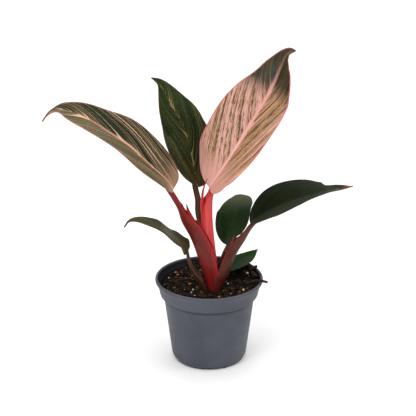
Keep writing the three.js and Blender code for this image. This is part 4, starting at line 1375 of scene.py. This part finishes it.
# %% One recipe for all stalks
def stalk_finish(name, foot, middle, top, edge, streak, edge_share=0.6, glow=0.06, roughness=0.38):
    finish = Finish(
        name, roughness=roughness, specular=0.25, Subsurface_Weight=glow, Subsurface_Scale=0.0015,
    )
    skin = finish.attribute("skin")
    stalk_map = finish.split(finish.attribute("stalk"))
    lengthwise = finish.cloud(skin, 1.0, detail=3, roughness=0.6, stretch=(1.6, 1.6, 0.07))
    mottle = finish.cloud(skin, 0.5, detail=3)
    tone = finish.mix(finish.between(stalk_map["X"], 0.0, 0.4), foot, middle)
    tone = finish.mix(finish.between(stalk_map["X"], 0.45, 0.9), tone, top)
    tone = finish.mix(finish.between(lengthwise, 0.44, 0.6, 0, 0.7), tone, streak)
    tone = finish.mix(finish.between(stalk_map["Y"], 0.7, 1.0, 0, edge_share), tone, edge)
    finish.colour(tone)
    finish.gloss(finish.between(mottle, 0.3, 0.7, roughness - 0.06, roughness + 0.1))
    finish.relief(lengthwise, 0.0002, 0.5)
    return finish.material


# %% Skins of the seven stalks
SKINS = {
    "a": {
        "foot": paint(176, 24, 28), "middle": paint(120, 30, 24), "top": paint(138, 40, 30),
        "edge": paint(166, 30, 34), "streak": paint(78, 32, 22),
    },
    "b": {
        "foot": paint(88, 36, 46), "middle": paint(84, 50, 38), "top": paint(80, 54, 32),
        "edge": paint(84, 54, 36), "streak": paint(36, 24, 14), "glow": 0.0,
    },
    "c": {
        "foot": paint(178, 22, 30), "middle": paint(212, 62, 64), "top": paint(212, 82, 76),
        "edge": paint(192, 26, 34), "streak": paint(224, 92, 86), "edge_share": 0.8, "glow": 0.12,
        "roughness": 0.34,
    },
    "d": {
        "foot": paint(110, 26, 22), "middle": paint(90, 38, 26), "top": paint(94, 62, 42),
        "edge": paint(112, 36, 32), "streak": paint(60, 32, 20), "edge_share": 0.35,
    },
    "e": {
        "foot": paint(46, 38, 24), "middle": paint(40, 38, 22), "top": paint(36, 38, 20),
        "edge": paint(50, 42, 26), "streak": paint(28, 24, 14), "glow": 0.0,
    },
    "f": {
        "foot": paint(60, 44, 28), "middle": paint(50, 46, 26), "top": paint(42, 52, 28),
        "edge": paint(54, 46, 28), "streak": paint(36, 30, 20), "glow": 0.0,
    },
    "g": {
        "foot": paint(50, 36, 20), "middle": paint(60, 46, 28), "top": paint(70, 52, 32),
        "edge": paint(140, 72, 60), "streak": paint(36, 26, 16), "edge_share": 0.25, "glow": 0.0,
    },
}
STALK_SLOTS = {
    "a": "stalk_dark_red", "b": "stalk_brown", "c": "stalk_coral", "d": "stalk_brown_red", "e": "stalk_olive",
    "f": "stalk_brown", "g": "stalk_brown",
}
for key, obj in stalks.items():
    skin = stalk_finish(f"skin_{key}", **SKINS[key])
    finish_piece(obj, f"petiole_{key}", skin, STALK_SLOTS[key], f"stalk_{key}", angle=50)

# %% [markdown]
# ## The rolled new leaf
# The next leaf comes up rolled like a spill inside the sheath of the pink leaf's stalk. It is a slim tube
# whose radius falls a little round each turn, which leaves the step of the roll's edge along it.

# %% The spear
SPEAR_PATH = [
    (0.0006, -0.0060, 0.0410), (0.0003, -0.0050, 0.0510), (-0.0006, -0.0032, 0.0620),
    (-0.0016, -0.0006, 0.0740), (-0.0032, 0.0016, 0.0860), (-0.0037, 0.0030, 0.0950),
    (-0.0026, 0.0036, 0.1005), (-0.0009, 0.0040, 0.1045),
]
SPEAR_RADII = (0.0010, *[0.0011] * 5, 0.00095, 0.00065, 0.0002)
SPEAR_SIDES = 28
SPEAR_ROWS = 90
spear = slim_tube(SPEAR_PATH, SPEAR_RADII, SPEAR_SIDES, SPEAR_ROWS, seam=0.1)


def spear_finish():
    finish = Finish("spear_red", roughness=0.4, specular=0.25, Subsurface_Weight=0.08, Subsurface_Scale=0.001)
    skin = finish.attribute("skin")
    height = finish.split(finish.place())["Z"]
    lengthwise = finish.cloud(skin, 1.0, detail=3, stretch=(2.5, 2.5, 0.05))
    tone = finish.mix(finish.between(height, 0.080, 0.096), paint(214, 92, 88), paint(176, 48, 56))
    tone = finish.mix(finish.between(height, 0.1, 0.1045), tone, paint(96, 34, 44))
    finish.colour(finish.mix(finish.between(lengthwise, 0.45, 0.7, 0, 0.5), tone, paint(142, 34, 44)))
    finish.gloss(finish.between(lengthwise, 0.3, 0.7, 0.34, 0.48))
    finish.relief(lengthwise, 0.00015, 0.5)
    return finish.material


finish_piece(spear, "spear_rolled", spear_finish(), "spear_red", "new_leaf_spear", angle=50)

# %% [markdown]
# ## The bark sliver
# A thin splinter of bark lies in the mix and over the rim. It is a slim tube as well, flattened and
# roughened by a random move of its points.

# %% The sliver
SLIVER_PATH = [
    (0.0205, -0.0070, 0.0468), (0.0240, -0.0077, 0.0483), (0.0280, -0.0085, 0.0493),
    (0.0322, -0.0093, 0.0488),
]
SLIVER_RADII = (0.0005, 0.0009, 0.00085, 0.0007)
SLIVER_SIDES = 14
SLIVER_ROWS = 40
sliver = slim_tube(SLIVER_PATH, SLIVER_RADII, SLIVER_SIDES, SLIVER_ROWS, flatten=0.85)
edit(sliver)
bpy.ops.transform.vertex_random(offset=0.00012, uniform=0.5, seed=5)
leave_edit()


def sliver_finish():
    finish = Finish("bark_skin", roughness=0.85, specular=0.25)
    skin = finish.attribute("skin")
    fibres = finish.cloud(skin, 1.0, detail=4, stretch=(2.2, 2.2, 0.4))
    along = finish.split(finish.place())["X"]
    tone = finish.mix(finish.between(fibres, 0.4, 0.65), paint(24, 14, 12), paint(70, 36, 32))
    tone = finish.mix(finish.between(along, 0.030, 0.0325, 0, 0.8), tone, paint(122, 54, 52))
    finish.colour(tone)
    finish.gloss(finish.between(fibres, 0.3, 0.7, 0.75, 0.95))
    finish.relief(fibres, 0.0004, 0.9)
    return finish.material


finish_piece(sliver, "bark_sliver", sliver_finish(), "bark", "bark_chip", angle=45)

# %% [markdown]
# ## Stem and roots
# The short stem and its roots are buried in the mix. Their solid is already the right shape, so the CAD
# node stays and only gets a finish.


# %% The root skin
def root_skin():
    finish = Finish("root_skin", roughness=0.8, specular=0.3)
    place = finish.place()
    bands = finish.cloud(place, 420, detail=4, stretch=(1, 1, 3))
    tone = finish.mix(finish.between(bands, 0.35, 0.7), paint(118, 92, 62), paint(176, 148, 108))
    finish.colour(tone)
    finish.gloss(finish.between(bands, 0.3, 0.7, 0.7, 0.9))
    finish.relief(bands, 0.0004, 0.6)
    return finish.material


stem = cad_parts["stem_crown"]
stem.data.materials.clear()
stem.data.materials.append(root_skin())

# %% [markdown]
# ## Floor, light and camera
# The plant stands on a plain pale floor under soft studio light: a bright surround for the even fill, a
# very broad light overhead, a key light from the upper left in front, and weaker ones from the right and
# from behind. The camera looks down by about 21 degrees from 0.7 m away with a long lens.

# %% The floor
def pale_floor():
    finish = Finish("pale_floor", roughness=0.7, specular=0.2)
    mist = finish.cloud(finish.place(), 30, detail=2)
    finish.colour(finish.mix(mist, paint(246, 246, 246), paint(250, 250, 250)))
    finish.gloss(finish.between(mist, 0.3, 0.7, 0.65, 0.75))
    finish.relief(finish.cloud(finish.place(), 900, detail=1), 0.0001, 0.1)
    return finish.material


FLOOR_SIZE = 6
deselect_all()
bpy.ops.mesh.primitive_plane_add(size=FLOOR_SIZE)
floor = bpy.context.object
floor.name = "floor"
floor.data.materials.append(pale_floor())
print("floor:", FLOOR_SIZE, "m square")

# %% The surround and the lights
SURROUND = 0.4
LIGHT_TARGET = (0, 0, 0.09)
world = bpy.data.worlds.new("studio")
bpy.context.scene.world = world
world.use_nodes = True
world.node_tree.nodes["Background"].inputs["Color"].default_value = (1, 1, 1, 1)
world.node_tree.nodes["Background"].inputs["Strength"].default_value = SURROUND


def soft_light(name, place, size, power):
    """A round light, whose size is in metres and power in watts, turned to the middle of the plant."""
    data = bpy.data.lights.new(name, "AREA")
    data.shape = "DISK"
    data.size = size
    data.energy = power
    lamp = bpy.data.objects.new(name, data)
    bpy.context.scene.collection.objects.link(lamp)
    lamp.location = place
    lamp.rotation_euler = (Vector(LIGHT_TARGET) - Vector(place)).to_track_quat("-Z", "Y").to_euler()


soft_light("overhead_light", (0, 0.1, 2.2), size=5, power=80)
soft_light("key_light", (-0.55, -0.75, 0.95), size=0.7, power=4.5)
soft_light("side_light", (0.8, -0.2, 0.7), size=0.6, power=1.5)
soft_light("back_light", (0.1, 0.9, 0.8), size=0.8, power=1.5)
bpy.context.scene.view_settings.view_transform = "Standard"
print("lights:", len(bpy.data.lights))

# %% The camera
LENS = 108.57
SENSOR = 36
CAMERA_PLACE = (-0.00061, -0.6384, 0.3353)
CAMERA_TILT = math.radians(68.9)
camera_data = bpy.data.cameras.new("camera")
camera_data.lens = LENS
camera_data.sensor_width = SENSOR
camera_data.clip_start = 0.01
camera = bpy.data.objects.new("camera", camera_data)
bpy.context.scene.collection.objects.link(camera)
camera.location = CAMERA_PLACE
camera.rotation_euler = (CAMERA_TILT, 0, 0)
bpy.context.scene.camera = camera
print("camera:", round(camera.location.length, 2), "m from the pot's foot")
